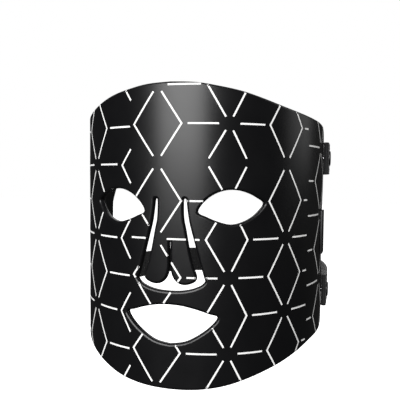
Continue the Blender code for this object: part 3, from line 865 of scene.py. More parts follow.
# %% Part the flap and the lobes
def part_below(piece, name, height, inside_of):
    """Cut across at a height and take what lies below it and inside the given s range."""
    choose_only(piece)
    bpy.ops.object.mode_set(mode="EDIT")
    bpy.ops.mesh.select_all(action="SELECT")
    bpy.ops.mesh.bisect(plane_co=(0, height * MM, 0), plane_no=(0, 1, 0), threshold=1e-7)
    bpy.ops.mesh.select_all(action="DESELECT")
    bpy.ops.object.mode_set(mode="OBJECT")
    for face in piece.data.polygons:
        s, h = face.center.x / MM, face.center.y / MM
        face.select = h < height and inside_of(s, h)
    already = set(scene.objects)
    bpy.ops.object.mode_set(mode="EDIT")
    bpy.ops.mesh.separate(type="SELECTED")
    bpy.ops.object.mode_set(mode="OBJECT")
    parted = (set(scene.objects) - already).pop()
    parted.name = name
    return parted


def close_cut(piece):
    """Close every open loop with one face."""
    choose_only(piece)
    bpy.ops.object.mode_set(mode="EDIT")
    bpy.ops.mesh.select_all(action="DESELECT")
    bpy.ops.mesh.select_mode(type="EDGE")
    bpy.ops.mesh.select_non_manifold(extend=False, use_wire=False, use_multi_face=False,
                                     use_non_contiguous=False, use_verts=False)
    bpy.ops.mesh.edge_face_add()
    bpy.ops.mesh.select_mode(type="FACE")
    bpy.ops.object.mode_set(mode="OBJECT")
    return piece


def within_window(s, h):
    """Whether a place of the flat sheet lies on the flap or its lobes."""
    reach = np.interp(-h, [-y for _, y in window_half], [x for x, _ in window_half])
    return -59 < h < BRIDGE_H and abs(s) < reach - 0.3


keep_flat_shading(skin)
flap_skin = part_below(skin, "nose_flap_skin", BRIDGE_H, within_window)
left_lobe_skin = part_below(flap_skin, "left_lobe_skin", LOBE_H, lambda s, h: s > 0)
right_lobe_skin = part_below(flap_skin, "right_lobe_skin", LOBE_H, lambda s, h: s < 0)
skins = {"mask": skin, "nose_flap": flap_skin, "left_lobe": left_lobe_skin,
         "right_lobe": right_lobe_skin}
for piece in skins.values():
    close_cut(piece)
    lay(piece, FACE)

# %% [markdown]
# A stiff hinge would tear soft rubber, so on the real mask the flap bends. Here the pieces of
# the flap and the lobes ride on no body: their places are only fixed in their meshes.


def bend_at(piece):
    """Fix the piece's place in its mesh; it rides on no body."""
    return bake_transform(piece)


def attach(piece, body):
    """Ride on the mask; a piece of the flap or a lobe only has its place fixed in its mesh."""
    if body == "mask":
        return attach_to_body(piece, body)
    if body == "nose_flap":
        return bend_at(piece)
    return bend_at(piece)


STANDS_FOR = {"mask": "front_cover", "nose_flap": "nose_flap_cover",
              "left_lobe": "left_lobe_cover", "right_lobe": "right_lobe_cover"}
for body, piece in skins.items():
    finish_piece(piece, SILICONE, stands_for=[STANDS_FOR[body]])
    attach(piece, body)

# %% [markdown]
# ## The printed lines
# White ink lines make a net of open stars and lozenges. Stars stand in columns, every second
# level down the mask; from each star a line runs down to a corner between the columns and on to
# the next star, and short level dashes join the corners to the next column. The print was laid
# down in three panels, so the net starts afresh at two seams. Beside the right seam the net
# leans at the brow, so the few lines there are given by their ends.

# %% Work out the net
LEVEL = 25.0
TOP_LEVEL = 78.0
LEFT_SEAM = 108.5
RIGHT_SEAM = -28.3
STAR_TRIM = 5.0
DASH_FROM_CORNER = 4.0
DASH_FROM_STAR = 7.0
OPEN_CORNER = 3.0
OPEN_LEVEL = 2
SEAM_GAP = 0.4
FRONT_STARS = (-8.8, 38.8, 82.5)
FRONT_CORNERS = ((-26.3, 7.7), (24.0, 51.7), (67.4, 99.0))
RIGHT_STAR = -68.4
RIGHT_PITCH = 45.6
RIGHT_REACH = 15.2
RIGHT_SHIFT = 1.2
SEAM_STAR = -22.0
SEAM_CORNER = -37.2
SEAM_DASH = -37.4
BROW_LINES = [[(-36.6, 80.5), (-28.9, 68.8)], [(-28.9, 36.9), (-36.6, 26.1), (-28.9, 13.9)]]
LEFT_STAR = 141.0
LEFT_CORNERS = (123.0, 158.0)
LEFT_SHIFT = 11.5


def level_h(index, shift=0.0):
    """Height of a level of the net."""
    return TOP_LEVEL - LEVEL * index - shift


def toward(start, end, distance):
    """The point this far along the way from start to end."""
    way = Vector(end) - Vector(start)
    return tuple(Vector(start) + way.normalized() * distance)


def chevrons(star_s, corner_s, parity, shift=0.0, open_at=None, first=-2):
    """Lines from each star to a corner beside it and on to the next star down."""
    lines = []
    for index in range(first + parity, 9, 2):
        star, corner, lower = [(s, level_h(index + k, shift))
                               for k, s in enumerate((star_s, corner_s, star_s))]
        if index + 1 == open_at:
            lines += [[toward(end, corner, STAR_TRIM), toward(corner, end, OPEN_CORNER)]
                      for end in (star, lower)]
        else:
            lines.append([toward(star, corner, STAR_TRIM), corner,
                          toward(lower, corner, STAR_TRIM)])
    return lines


def dashes(corner_s, end_s, parity, shift=0.0, trim=DASH_FROM_STAR, skip=None):
    """Level dashes from a column of corners to a column of stars, or to a seam."""
    side = 1 if end_s > corner_s else -1
    return [[(corner_s + side * DASH_FROM_CORNER, level_h(index, shift)),
             (end_s - side * trim, level_h(index, shift))]
            for index in range(parity - 2, 10, 2) if index != skip]


def front_lines():
    """The middle panel, between the two seams; one level over the brow is left open."""
    lines = []
    for column, (star, corners) in enumerate(zip(FRONT_STARS, FRONT_CORNERS)):
        for corner in corners:
            lines += chevrons(star, corner, column % 2, open_at=OPEN_LEVEL)
    first, second, third = FRONT_STARS
    (_, past_first), (before_second, past_second), (before_third, past_third) = FRONT_CORNERS
    lines += dashes(past_first, second, 1) + dashes(before_second, first, 0, skip=OPEN_LEVEL)
    lines += dashes(past_second, third, 0, skip=OPEN_LEVEL) + dashes(before_third, second, 1)
    lines += dashes(past_third, LEFT_SEAM, 1, trim=SEAM_GAP)
    lines += [[(third + DASH_FROM_STAR, level_h(i)), (LEFT_SEAM - SEAM_GAP, level_h(i))]
              for i in range(0, 10, 2) if i != OPEN_LEVEL]
    lines.append([(RIGHT_SEAM + SEAM_GAP, level_h(4)), (first - DASH_FROM_STAR, level_h(4))])
    return lines


def right_lines():
    """The panel towards the wearer's right ear, on an even spacing and a little lower."""
    lines = dashes(RIGHT_STAR + RIGHT_REACH, RIGHT_STAR + RIGHT_PITCH, 1, RIGHT_SHIFT)
    for column in range(3):
        star, parity = RIGHT_STAR - RIGHT_PITCH * column, column % 2
        lines += chevrons(star, star - RIGHT_REACH, parity, RIGHT_SHIFT)
        lines += chevrons(star, star + RIGHT_REACH, parity, RIGHT_SHIFT)
        if column:
            lines += dashes(star + RIGHT_PITCH - RIGHT_REACH, star, parity, RIGHT_SHIFT)
        lines += dashes(star - RIGHT_PITCH + RIGHT_REACH, star, parity, RIGHT_SHIFT)
    lines += dashes(SEAM_DASH, RIGHT_STAR, 0, RIGHT_SHIFT)
    lines += chevrons(SEAM_STAR, SEAM_CORNER, 1, RIGHT_SHIFT, first=2)
    low = level_h(6, RIGHT_SHIFT)
    lines.append([(SEAM_CORNER + DASH_FROM_CORNER, low), (RIGHT_SEAM, low)])
    return lines + BROW_LINES


def left_lines():
    """The panel towards the wearer's left ear, half a level lower."""
    lines = []
    for corner in LEFT_CORNERS:
        lines += chevrons(LEFT_STAR, corner, 1, LEFT_SHIFT)
    lines += dashes(LEFT_SEAM - 2.5, LEFT_STAR, 1, LEFT_SHIFT)
    lines += dashes(LEFT_CORNERS[0], LEFT_SEAM, 0, LEFT_SHIFT, trim=2)
    return lines


print("lines in the middle panel:", len(front_lines()))

# %% [markdown]
# Each line is trimmed where it would run over a rolled edge, and belongs to whichever body it
# lies on. It is sampled every quarter of a millimetre, the samples off the skin are dropped,
# and each stretch that is left becomes the outline of a thin bar.

# %% Helpers for trimming the lines
EDGE_MARGIN = 0.9
SAMPLE = 0.25
SHORTEST = 1.5
CHUNK = 2000
edge_starts = np.concatenate([np.array(loop) for loop in skin_loops])
edge_ends = np.concatenate([np.roll(np.array(loop), -1, axis=0) for loop in skin_loops])


def distance_to_edges(points):
    """Distance from each flat point to the nearest edge of the skin, in millimetres."""
    run = edge_ends - edge_starts
    square = np.maximum((run ** 2).sum(1), 1e-12)
    nearest = np.full(len(points), 1e9)
    for first in range(0, len(points), CHUNK):
        some = points[first:first + CHUNK, None, :]
        share = np.clip(((some - edge_starts) * run).sum(2) / square, 0, 1)
        gap = some - (edge_starts + share[:, :, None] * run)
        nearest[first:first + CHUNK] = np.sqrt((gap ** 2).sum(2)).min(1)
    return nearest


def on_skin(points):
    """Whether each flat point lies on silicone and not in an opening: it crosses odd edges."""
    x, y = points[:, 0][:, None], points[:, 1][:, None]
    (xa, ya), (xb, yb) = edge_starts.T, edge_ends.T
    crosses = (ya > y) != (yb > y)
    height = np.where(yb == ya, 1e-9, yb - ya)
    return (crosses & (x < xa + (y - ya) / height * (xb - xa))).sum(1) % 2 == 1


def body_at(s, h):
    """The body that a flat place belongs to."""
    if not within_window(s, h):
        return "mask"
    if h > LOBE_H:
        return "nose_flap"
    return "left_lobe" if s > 0 else "right_lobe"


def trimmed(line, low, high):
    """The stretches of a line that lie on the skin, each with its body."""
    samples, corners = [], []
    for a, b in zip(line, line[1:]):
        steps = max(int(math.dist(a, b) / SAMPLE), 1)
        for k in range(steps):
            samples.append(tuple(Vector(a).lerp(Vector(b), k / steps)))
            corners.append(k == 0)
    samples.append(line[-1])
    corners.append(True)
    points = np.array(samples)
    good = on_skin(points) & (distance_to_edges(points) > EDGE_MARGIN)
    good &= (points[:, 0] > low) & (points[:, 0] < high)
    runs, current, owner = [], [], None
    for point, is_good, corner in zip(samples, good, corners):
        body = body_at(*point) if is_good else None
        if current and body != owner:
            runs.append((owner, current))
            current = []
        owner = body
        if body:
            current.append((point, corner))
    if current:
        runs.append((owner, current))
    result = []
    for owner, run in runs:
        path = [run[0][0]] + [p for p, corner in run[1:-1] if corner] + [run[-1][0]]
        if sum(math.dist(a, b) for a, b in zip(path, path[1:])) > SHORTEST:
            result.append((owner, path))
    return result


def bar_outline(path, width):
    """The outline of a bar of this width about a bent line, mitred at its corners."""
    left, right = [], []
    for i, point in enumerate(path):
        before = (Vector(point) - Vector(path[i - 1])).normalized() if i else None
        after = (Vector(path[i + 1]) - Vector(point)).normalized() if i + 1 < len(path) else None
        way = ((before or after) + (after or before)).normalized()
        reach = width / 2 / max(way.dot(after or before), 0.5)
        across = Vector((-way.y, way.x)) * reach
        left.append(tuple(Vector(point) + across))
        right.append(tuple(Vector(point) - across))
    return left + right[::-1]

# %% Trim the net to the skin
LINE_WIDTH = 1.16
PANEL_GAP = 0.6
SHEET_END = 175
bars = {body: [] for body in skins}
for lines, low, high in ((front_lines(), RIGHT_SEAM, LEFT_SEAM),
                         (right_lines(), -SHEET_END, RIGHT_SEAM - PANEL_GAP),
                         (left_lines(), LEFT_SEAM + PANEL_GAP, SHEET_END)):
    for line in lines:
        for body, path in trimmed(line, low, high):
            bars[body].append(bar_outline(path, LINE_WIDTH))
print("bars on each body:", {body: len(found) for body, found in bars.items()})

# %% [markdown]
# Screen ink stands a tenth of a millimetre proud, which is enough to catch the light along its
# edge. A texture would be flat, so the bars are real: they sink to follow the roll of the skin
# near an edge, are given the ink's thickness with Solidify, and are laid like the skin, with
# their flat shading directions kept.

# %% Raise the bars as ink
INK = 0.1
INK_SLICE = 2.0


def sink_over_roll(piece, lift):
    """Lower a flat sheet's corners where the skin rolls away near an edge."""
    corners = corner_array(piece)
    gap = np.clip(distance_to_edges(corners[:, :2] / MM), 0, SKIN_ROUND)
    drop = SKIN_ROUND - np.sqrt(np.maximum(SKIN_ROUND ** 2 - (SKIN_ROUND - gap) ** 2, 0))
    corners[:, 2] = (lift - drop) * MM
    place_corners(piece, corners)


for body, outlines in bars.items():
    printed = plate(body + "_print", outlines, 0, 0)
    slice_piece(printed, INK_SLICE, INK_SLICE)
    sink_over_roll(printed, INK / 2)
    apply_modifier(printed, "SOLIDIFY", thickness=INK * MM, offset=0)
    keep_flat_shading(printed)
    lay(printed, FACE)
    finish_piece(printed, PRINT)
    attach(printed, body)

# %% [markdown]
# ## The clear liner
# A sheet of frosted silicone closes the pocket on the skin side and spreads the light. It is
# cut from the same outlines as the skin, a little inside its rim, and is attached to its body in
# the same way.

# %% Lay the liners
LINER_GAP = 0.3
LINER_NEAR = 3.7
LINER_FAR = 4.9
LINER_ROUND = 0.4
liner_nodes = {body: body.replace("mask", "skin") + "_liner" for body in skins}
for body, loops in inner_loops(POCKET_EDGE + LINER_GAP, REAR_BAND - LINER_GAP).items():
    liner = plate(liner_nodes[body] + "_sheet", loops, LINER_NEAR, LINER_FAR, LINER_ROUND)
    slice_piece(liner, SHEET_SLICE_S, SHEET_SLICE_H)
    keep_flat_shading(liner)
    lay(liner, FACE)
    finish_piece(liner, CLEAR, stands_for=[liner_nodes[body]])
    attach(liner, body)

# %% [markdown]
# ## LEDs and their domes
# The LEDs stand on a grid, every second flat of the wrap, wherever there is board under them.
# A place is kept when all four corners of the LED, with a margin, lie inside the board's
# outline; the small boards of the chin, the flap and the lobes have their own few places.

# %% Find the LED places
WRAP_FLATS = 16
LED_MARGIN = 1.0
LED_HALF = 1.6
LED_TOP = 3.4
LED_ROWS = [-116 + 18 * i for i in range(12)]
LED_STAGGER = 9.0
FOREHEAD_HALF = [(0, 71), (40, 67), (80, 58.5), (120, 53), (137, 51), (137, 34), (110, 27),
                 (80, 20), (60, 17.5), (40, 15.5), (20, 12), (0, 8)]
CHEEK = [(24, -18), (34, -17), (46, -18), (60, -14), (74, 0), (100, 10), (137, 14), (137, -50),
         (137, -90), (110, -92), (84, -98), (62, -101), (44, -100), (38, -90), (40, -72),
         (30, -60), (29, -50), (25, -36)]


def inside(point, loop):
    """Whether a point lies inside a loop."""
    x, y = point
    crossings = [x < xa + (y - ya) / (yb - ya) * (xb - xa)
                 for (xa, ya), (xb, yb) in zip(loop, loop[1:] + loop[:1]) if (ya > y) != (yb > y)]
    return sum(crossings) % 2 == 1


def grid_places(outline, low, high):
    """Grid places between two s values with room for a LED on the board."""
    pitch = WRAP_LENGTH / WRAP_FLATS
    columns = [(i + 0.5) * pitch for i in range(-WRAP_FLATS, WRAP_FLATS, 2)]
    columns = [s for s in columns if low < s < high]
    reach = LED_HALF + LED_MARGIN
    return [(s, row + LED_STAGGER * (i % 2)) for i, s in enumerate(columns) for row in LED_ROWS
            if all(inside((s + a * reach, row + LED_STAGGER * (i % 2) + b * reach), outline)
                   for a in (-1, 1) for b in (-1, 1))]


CHIN_LEDS = [(-25, -106), (-5, -106), (15, -106)]
FLAP_LEDS = [(-5, -6), (5, -6), (-5, -17), (5, -17)]
LOBE_LEDS = [(7.5, -33), (7.5, -43)]
forehead = whole(smooth(FOREHEAD_HALF, steps=2))
cheek = smooth(CHEEK, closed=True, steps=2)
led_places = {
    "mask": grid_places(forehead, -140, 140) + grid_places(cheek, 20, 145)
    + grid_places(mirrored(cheek), -145, -20) + CHIN_LEDS,
    "nose_flap": FLAP_LEDS, "left_lobe": LOBE_LEDS,
    "right_lobe": [(-s, h) for s, h in LOBE_LEDS]}
print("LEDs:", {body: len(places) for body, places in led_places.items()})

# %% [markdown]
# Each LED has a small round lens, and the liner is raised in a low dome over it. For each body
# one lens and one dome are modelled, as the upper half of a flattened ball, and copies of their
# meshes go to every place before they are laid along the wrap.

# %% Model one lens and one dome, and copy them
LENS_RADIUS = 1.15
LENS_HEIGHT = 0.22
DOME_RADIUS = 3.6
DOME_HEIGHT = 0.8
SUNK = 0.02


def low_dome(name, radius, height, foot_depth, segments, rings):
    """The upper half of a flattened ball, standing inwards from a depth, with a flat foot."""
    bpy.ops.object.select_all(action="DESELECT")
    bpy.ops.mesh.primitive_uv_sphere_add(segments=segments, ring_count=rings)
    piece = bpy.context.object
    piece.name = name
    bpy.ops.object.mode_set(mode="EDIT")
    bpy.ops.mesh.select_all(action="SELECT")
    bpy.ops.mesh.bisect(plane_co=(0, 0, 0), plane_no=(0, 0, 1), use_fill=True, clear_outer=True)
    bpy.ops.object.mode_set(mode="OBJECT")
    piece.data.transform(Matrix.Diagonal((radius * MM, radius * MM, height * MM, 1)))
    piece.data.transform(Matrix.Translation((0, 0, -foot_depth * MM)))
    return piece


def copies(template, name, placings):
    """A copy of the template's mesh at each placing, joined; the template is used up."""
    made = []
    for placing in placings:
        copy = bpy.data.objects.new(name, template.data.copy())
        copy.data.transform(placing)
        scene.collection.objects.link(copy)
        made.append(copy)
    bpy.data.objects.remove(template)
    return join_all(name, made)


for body, places in led_places.items():
    placings = [Matrix.Translation((s * MM, h * MM, 0)) for s, h in places]
    lenses = copies(low_dome("lens", LENS_RADIUS, LENS_HEIGHT, LED_TOP - SUNK, 12, 6),
                    body + "_led_lenses", placings)
    domes = copies(low_dome("dome", DOME_RADIUS, DOME_HEIGHT, LINER_FAR - SUNK, 20, 8),
                   body + "_liner_domes", placings)
    for piece, finish, slot in ((lenses, PHOSPHOR, None), (domes, CLEAR, "clear_silicone")):
        lay(piece, FACE)
        finish_piece(piece, finish, smooth_angle=60)
        attach(piece, body)

# %% [markdown]
# The LED boards and the flexible tails between them keep their CAD shape, because that is
# already the real one, and only take the circuit's finish.

# %% Finish the boards
CIRCUIT_NODES = [name for name in frame["nodes"]
                 if name.endswith("_led_board") or name.endswith("_flex_tail")
                 or name == "inlet_board"]
for name in CIRCUIT_NODES:
    board = frame["nodes"][name]
    board.data.materials.clear()
    board.data.materials.append(CIRCUIT)
print("circuit nodes:", len(CIRCUIT_NODES))

# %% [markdown]
# ## Head straps
# A strap is two flat elastic bands. Each is drawn as a straight strip of webbing with a hole
# for the snap in both layers of its folded end, then laid along a track: in from the fold, a
# tight turn at the front, past the ear and across the back of the head. Flat webbing is
# modelled directly, since a cloth simulation would crease a band that is under tension.

# %% Make the strap tracks
stud_low, stud_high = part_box("upper_left_stud")
STUD_Y = (stud_low.y + stud_high.y) / 2 / MM
TAB_GAP = 0.4
STRAP = 1.8
STRAP_END = 3.9
STRAP_END_LEAD = 7.0
STRAP_WIDTH = 25.0
DOUBLED = 24.0
OVERLAP = 34.0
BACK_Y = {"left": 229.0, "right": 233.7}
STRAP_H = {"upper": 34.5, "lower": -71.0}
FOLD = (STRAP_END - STRAP) / 2
OUTER_X = HALF_WIDTH + TAB_GAP + STRAP_END - STRAP / 2
END_Y = STUD_Y - STRAP_END_LEAD


def strap_track(side, back_y):
    """Middle line of a band: in from the fold's end, round it, and on to the band's tip."""
    turn_y = END_Y + STRAP / 2 + FOLD
    run = [(OUTER_X, END_Y), (OUTER_X, END_Y + 20), (OUTER_X - 0.5, END_Y + 40),
           (OUTER_X - 3, 162), (OUTER_X - 7.5, 182), (OUTER_X - 17, back_y - 27),
           (OUTER_X - 32, back_y - 11), (OUTER_X - 49, back_y - 2), (32, back_y), (0, back_y),
           (-OVERLAP, back_y)]
    path = [(OUTER_X - 2 * FOLD, END_Y + DOUBLED)]
    path += arc((OUTER_X - FOLD, turn_y), FOLD, 180, 360, 12)
    path += [point for point in smooth(run, steps=8) if point[1] > turn_y]
    track = make_track(*np.array(path).T, spacing=0.1)
    if side == "right":
        track.update(x=-track["x"], in_x=-track["in_x"], up=-1)
    return track


TRACKS = {side: strap_track(side, back_y) for side, back_y in BACK_Y.items()}
HOLE_INNER_S = END_Y + DOUBLED - STUD_Y
HOLE_OUTER_S = DOUBLED - STRAP / 2 - FOLD + math.pi * FOLD + STRAP_END_LEAD - STRAP / 2 - FOLD
print("band length in mm:", {side: round(t["along"][-1], 1) for side, t in TRACKS.items()})

# %% [markdown]
# The strip is cut across every few millimetres, and much more closely where it folds back,
# because a fold with a radius of one millimetre needs many short faces. Webbing is a little
# thicker along its woven edges, so the corners there are raised before the strip is laid.

# %% Lay the bands
SNAP_HOLE = 4.3
SELVEDGE = 1.7
SELVEDGE_RISE = 0.16
BAND_SLICE_S = 2.5
BAND_SLICE_H = 1.0
FOLD_SLICE = 0.3
FOLD_REACH = 3


def circle(centre, radius, steps=32):
    """A round hole's outline."""
    return arc(centre, radius, 0, 360, steps)[:-1]


def raise_selvedges(piece):
    """Thicken the band a little along its two woven edges."""
    corners = corner_array(piece)
    edge = np.clip((np.abs(corners[:, 1]) / MM - STRAP_WIDTH / 2 + SELVEDGE) / 0.5, 0, 1)
    corners[:, 2] += np.sign(corners[:, 2]) * edge * edge * (3 - 2 * edge) * SELVEDGE_RISE * MM
    place_corners(piece, corners)


def band(strap, side):
    """One elastic band with its folded end."""
    track = TRACKS[side]
    half = STRAP_WIDTH / 2
    outline = rounded_box((0, -half), (track["along"][-1], half), 2.0)
    holes = [circle((s, 0), SNAP_HOLE) for s in (HOLE_INNER_S, HOLE_OUTER_S)]
    piece = plate(f"{strap}_{side}_webbing", [outline] + holes, -STRAP / 2, STRAP / 2, 0.55)
    slice_piece(piece, BAND_SLICE_S, BAND_SLICE_H)
    slice_piece(piece, FOLD_SLICE, within=(DOUBLED - FOLD_REACH, DOUBLED + FOLD_REACH))
    raise_selvedges(piece)
    keep_flat_shading(piece)
    lay(piece, track, STRAP_H[strap])
    finish_piece(piece, WEBBING, strap + "_strap",
                 [f"{strap}_strap_{side}_band"])


for strap in STRAP_H:
    for side in TRACKS:
        band(strap, side)

# %% [markdown]
# The folded end is sewn down with a box and a cross, and a seam runs round the fastener on the
# back. One stitch is a small stretched ball of thread, half sunk in the webbing.

# %% Sew the bands
STITCH = 2.6
STITCH_GAP = 0.7
THREAD = 0.28


def stitch_places(start, end):
    """Middles of the stitches along a line, and the line's direction."""
    count = max(round((math.dist(start, end) + STITCH_GAP) / (STITCH + STITCH_GAP)), 1)
    way = Vector(end) - Vector(start)
    turn = math.atan2(way.y, way.x)
    return [((start[0] + way.x * (i + 0.5) / count, start[1] + way.y * (i + 0.5) / count), turn)
            for i in range(count)]


def sewn_box(low, high, crossed):
    """Stitch places round a rectangle, and across it both ways if it is crossed."""
    (x0, y0), (x1, y1) = low, high
    corners = [(x0, y0), (x1, y0), (x1, y1), (x0, y1)]
    lines = list(zip(corners, corners[1:] + corners[:1]))
    if crossed:
        lines += [(corners[0], corners[2]), (corners[1], corners[3])]
    return [place for line in lines for place in stitch_places(*line)]


def sew(name, places, depth, track, lift, body):
    """A joined row of stitches on a band, at a depth from its middle."""
    bpy.ops.object.select_all(action="DESELECT")
    bpy.ops.mesh.primitive_uv_sphere_add(segments=8, ring_count=6)
    one = bpy.context.object
    one.data.transform(Matrix.Diagonal((STITCH / 2 * MM, THREAD * MM, THREAD * MM, 1)))
    piece = copies(one, name, [Matrix.Translation((s * MM, h * MM, -depth * MM))
                               @ Matrix.Rotation(turn, 4, "Z") for (s, h), turn in places])
    lay(piece, track, lift)
    finish_piece(piece, THREAD_FINISH, body, smooth_angle=80)


PATCH_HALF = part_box("upper_strap_hook_patch")[1].x / MM
SEAM_HALF = 9.6
BOX_HALF = 10.2
BOX_FROM_SNAP = 7.4
SEAM_INSET = 1.5
for strap, height in STRAP_H.items():
    for side, track in TRACKS.items():
        sewn_from = HOLE_OUTER_S + BOX_FROM_SNAP
        sewn_to = HOLE_OUTER_S + DOUBLED - STRAP_END_LEAD - SEAM_INSET
        places = sewn_box((sewn_from, -BOX_HALF), (sewn_to, BOX_HALF), True)
        sew(f"{strap}_{side}_end_stitches", places, -STRAP / 2 - 0.08, track, height,
            strap + "_strap")
    middle_s = TRACKS["right"]["along"][-1] - OVERLAP
    half = PATCH_HALF - SEAM_INSET
    places = sewn_box((middle_s - half, -SEAM_HALF), (middle_s + half, SEAM_HALF), False)
    sew(f"{strap}_fastener_stitches", places, -STRAP / 2 + 0.02, TRACKS["right"], height,
        strap + "_strap")

# %% [markdown]
# Between the overlapping bands lie a loop patch and a hook patch, cut from tape. A moulded
# keeper ring holds the tip flat; it is one outline with a slot through it and rolled edges.

# %% Place the fasteners and the keepers
FACING_REAR = Matrix.Rotation(math.pi / 2, 4, "X")
FACING_SIDE = Matrix(((0, 0, 1, 0), (1, 0, 0, 0), (0, 1, 0, 0), (0, 0, 0, 1)))
KEEPER_WALL = 2.0
KEEPER_ROUND = 2.4


def stand_up(piece, middle, turn):
    """Stand a flat piece upright at its place at the back of the head."""
    piece.data.transform(Matrix.Translation(middle) @ turn)
    piece.data.update()


def fastener(strap, kind, finish):
    """A patch of hook or loop tape in the place of its CAD node."""
    low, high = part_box(f"{strap}_strap_{kind}_patch")
    half_x, half_z = (high.x - low.x) / 2 / MM, (high.z - low.z) / 2 / MM
    thick = (high.y - low.y) / MM
    patch = plate(f"{strap}_{kind}_tape", [rounded_box((-half_x, -half_z), (half_x, half_z), 3)],
                  -thick / 2, thick / 2, 0.3)
    stand_up(patch, (low + high) / 2, FACING_REAR)
    finish_piece(patch, finish, strap + "_strap",
                 [f"{strap}_strap_{kind}_patch"], smooth_angle=35)


def keeper(strap):
    """The moulded ring round both bands."""
    low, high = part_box(strap + "_strap_keeper")
    half_y, half_z = (high.y - low.y) / 2 / MM, (high.z - low.z) / 2 / MM
    slot_y, slot_z, length = half_y - KEEPER_WALL, half_z - KEEPER_WALL, (high.x - low.x) / MM
    loops = [rounded_box((-half_y, -half_z), (half_y, half_z), KEEPER_ROUND, 6),
             rounded_box((-slot_y, -slot_z), (slot_y, slot_z), 0.9, 4)]
    ring = plate(strap + "_keeper_ring", loops, -length / 2, length / 2, 0.6, 4)
    stand_up(ring, (low + high) / 2, FACING_SIDE)
    finish_piece(ring, PLASTIC, strap + "_keeper", [strap + "_strap_keeper"],
                 smooth_angle=40)


for strap in STRAP_H:
    fastener(strap, "loop", LOOP_TAPE)
    fastener(strap, "hook", HOOK_TAPE)
    keeper(strap)

# %% [markdown]
# ## Snap fasteners
# Stud and socket are turned parts, so each is half a cross-section spun about its axis with the
# Screw modifier. The socket's cap is lacquered black, as on most straps.

# %% Turn the snaps
STUD_PROFILE = [(0, 4.3), (1.2, 4.28), (1.8, 4.15), (2.2, 3.8), (2.3, 3.4), (2.12, 2.7), (2.2, 1.6),
                (2.4, 0.4), (2.4, -5.3), (5.6, -5.3), (6, -5.5), (6, -6), (5.6, -6.25), (0, -6.3)]
SOCKET_PROFILE = [(0, 5.45), (1.6, 5.45), (2.2, 5.7), (3.2, 5.8), (4.8, 5.72), (5.6, 5.5), (6, 5.1),
                  (6, 4.75), (5.8, 4.6), (4, 4.6), (4, 0.5), (2.75, 0.5), (2.75, 4.8), (0, 4.8)]


def turned(name, profile, middle, outward):
    """A profile of (radius, distance outwards) pairs in millimetres, spun about the X axis."""
    mesh = bpy.data.meshes.new(name)
    points = [(distance * MM, radius * MM, 0) for radius, distance in profile]
    mesh.from_pydata(points, [(i, i + 1) for i in range(len(points) - 1)], [])
    piece = bpy.data.objects.new(name, mesh)
    scene.collection.objects.link(piece)
    apply_modifier(piece, "SCREW", axis="X", steps=48, render_steps=48, use_merge_vertices=True,
                   merge_threshold=0.000004)
    weld(piece, 0.004)
    piece.data.transform(Matrix.Translation(middle) @ Matrix.Diagonal((outward, 1, 1, 1)))
    if outward < 0:
        piece.data.flip_normals()
    return piece


for strap, height in STRAP_H.items():
    for side, outward in (("left", 1), ("right", -1)):
        middle = Vector((outward * HALF_WIDTH, STUD_Y, height)) * MM
        stud = turned(f"{strap}_{side}_snap_stud", STUD_PROFILE, middle, outward)
        finish_piece(stud, STEEL, "mask", [f"{strap}_{side}_stud"], 40)
        cap = turned(f"{strap}_{side}_snap_cap", SOCKET_PROFILE, middle, outward)
        finish_piece(cap, LACQUER, strap + "_strap",
                     [f"{strap}_strap_{side}_socket"], 40)

# %% [markdown]
# ## Power inlet
# The inlet is built as the real one is: a housing with a flange outside and a lid inside, a
# small board behind the socket, and a thin steel shell round a tongue. The blocks are cut flat
# and bevelled last, so that every moulded edge is broken, and then laid on the wrap.

# %% Build the inlet
FLANGE = 3.0
LID_NEAR = 5.3
LID_FAR = 6.3
BAY = (INLET_FRONT + 1.5, INLET_FRONT + 7.0)
BAY_HALF = 11.2
PORT_HALF = 4.9
SHELL_HALF = 4.5
TONGUE_HALF = 3.2
SCREW_REACH = 14.2
EDGE = 0.45


def inlet_block(name, front, rear, half, near, far):
    """A box centred on the inlet's height."""
    return block(name, (front, INLET_H - half, near), (rear, INLET_H + half, far))


def broken_edges(piece, width, segments=3):
    """Bevel every sharp edge."""
    return apply_modifier(piece, "BEVEL", width=width * MM, segments=segments,
                          limit_method="ANGLE", angle_limit=math.radians(40))


def lay_block(piece, finish, stands_for):
    """Cut, lay and finish a piece of the inlet."""
    slice_piece(piece, 3.0)
    lay(piece, FACE)
    finish_piece(piece, finish, "mask", stands_for, 35)


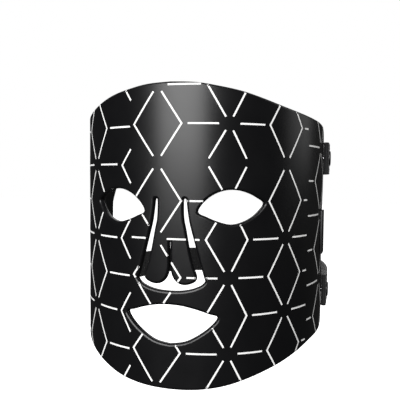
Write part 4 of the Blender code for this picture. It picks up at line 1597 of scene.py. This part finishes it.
housing = inlet_block("inlet_body", INLET_FRONT, INLET_REAR, INLET_HALF, -0.5, THICKNESS)
cut_with(housing, inlet_block("flange", INLET_FRONT - FLANGE, INLET_REAR, INLET_HALF + FLANGE,
                              -1.6, -0.3), "UNION")
cut_with(housing, inlet_block("bay", *BAY, BAY_HALF, 0.6, THICKNESS + 1))
cut_with(housing, inlet_block("port", BAY[1] - 1, INLET_REAR + 1, PORT_HALF, 0.7, 4.3))
broken_edges(housing, EDGE)
lay_block(housing, PLASTIC, ["inlet_housing"])

lid = inlet_block("inlet_cap", INLET_FRONT - FLANGE, INLET_REAR, INLET_HALF + FLANGE,
                  LID_NEAR, LID_FAR)
SCREW_PLACES = [(s, INLET_H + turn * SCREW_REACH) for s in (INLET_FRONT - 0.4, INLET_REAR - 2.6)
                for turn in (-1, 1)]
for s, h in SCREW_PLACES:
    cut_with(lid, plate("recess", [circle((s, h), 1.75)], LID_FAR - 0.35, LID_FAR + 1))
broken_edges(lid, 0.3)
lay_block(lid, PLASTIC, ["inlet_lid"])

shell = inlet_block("inlet_shell", BAY[1] + 0.4, INLET_REAR - 0.4, SHELL_HALF, 1.0, 4.0)
broken_edges(shell, 1.2, 4)
mouth = inlet_block("shell_mouth", BAY[1] + 0.9, INLET_REAR + 3, SHELL_HALF - 0.4, 1.35, 3.65)
cut_with(shell, broken_edges(mouth, 0.95, 4))
lay_block(shell, STEEL, ["inlet_socket"])
tongue = inlet_block("inlet_contact_tongue", BAY[1] + 1.4, INLET_REAR - 1.4, TONGUE_HALF,
                     2.15, 2.85)
broken_edges(tongue, 0.15)
lay_block(tongue, PLASTIC, ["inlet_tongue"])

# %% [markdown]
# Four small steel screws hold the lid, each in its own recess. A head is a low round plate with
# a bevelled edge, and its cross is two narrow blocks cut into it. The shank is never seen, so
# it is left out.

# %% Drive the lid's screws
SCREW_RADIUS = 1.5
CROSS = (0.9, 0.16)
screws = []
for s, h in SCREW_PLACES:
    head = plate("screw_head", [circle((s, h), SCREW_RADIUS, 24)], LID_FAR - 0.3,
                 LID_FAR + 0.15, 0.12)
    for reach_s, reach_h in (CROSS, CROSS[::-1]):
        cut_with(head, block("slot", (s - reach_s, h - reach_h, LID_FAR - 0.15),
                             (s + reach_s, h + reach_h, LID_FAR + 1)))
    screws.append(head)
screw_heads = join_all("inlet_screws", screws)
lay(screw_heads, FACE)
finish_piece(screw_heads, STEEL, "mask", smooth_angle=35)
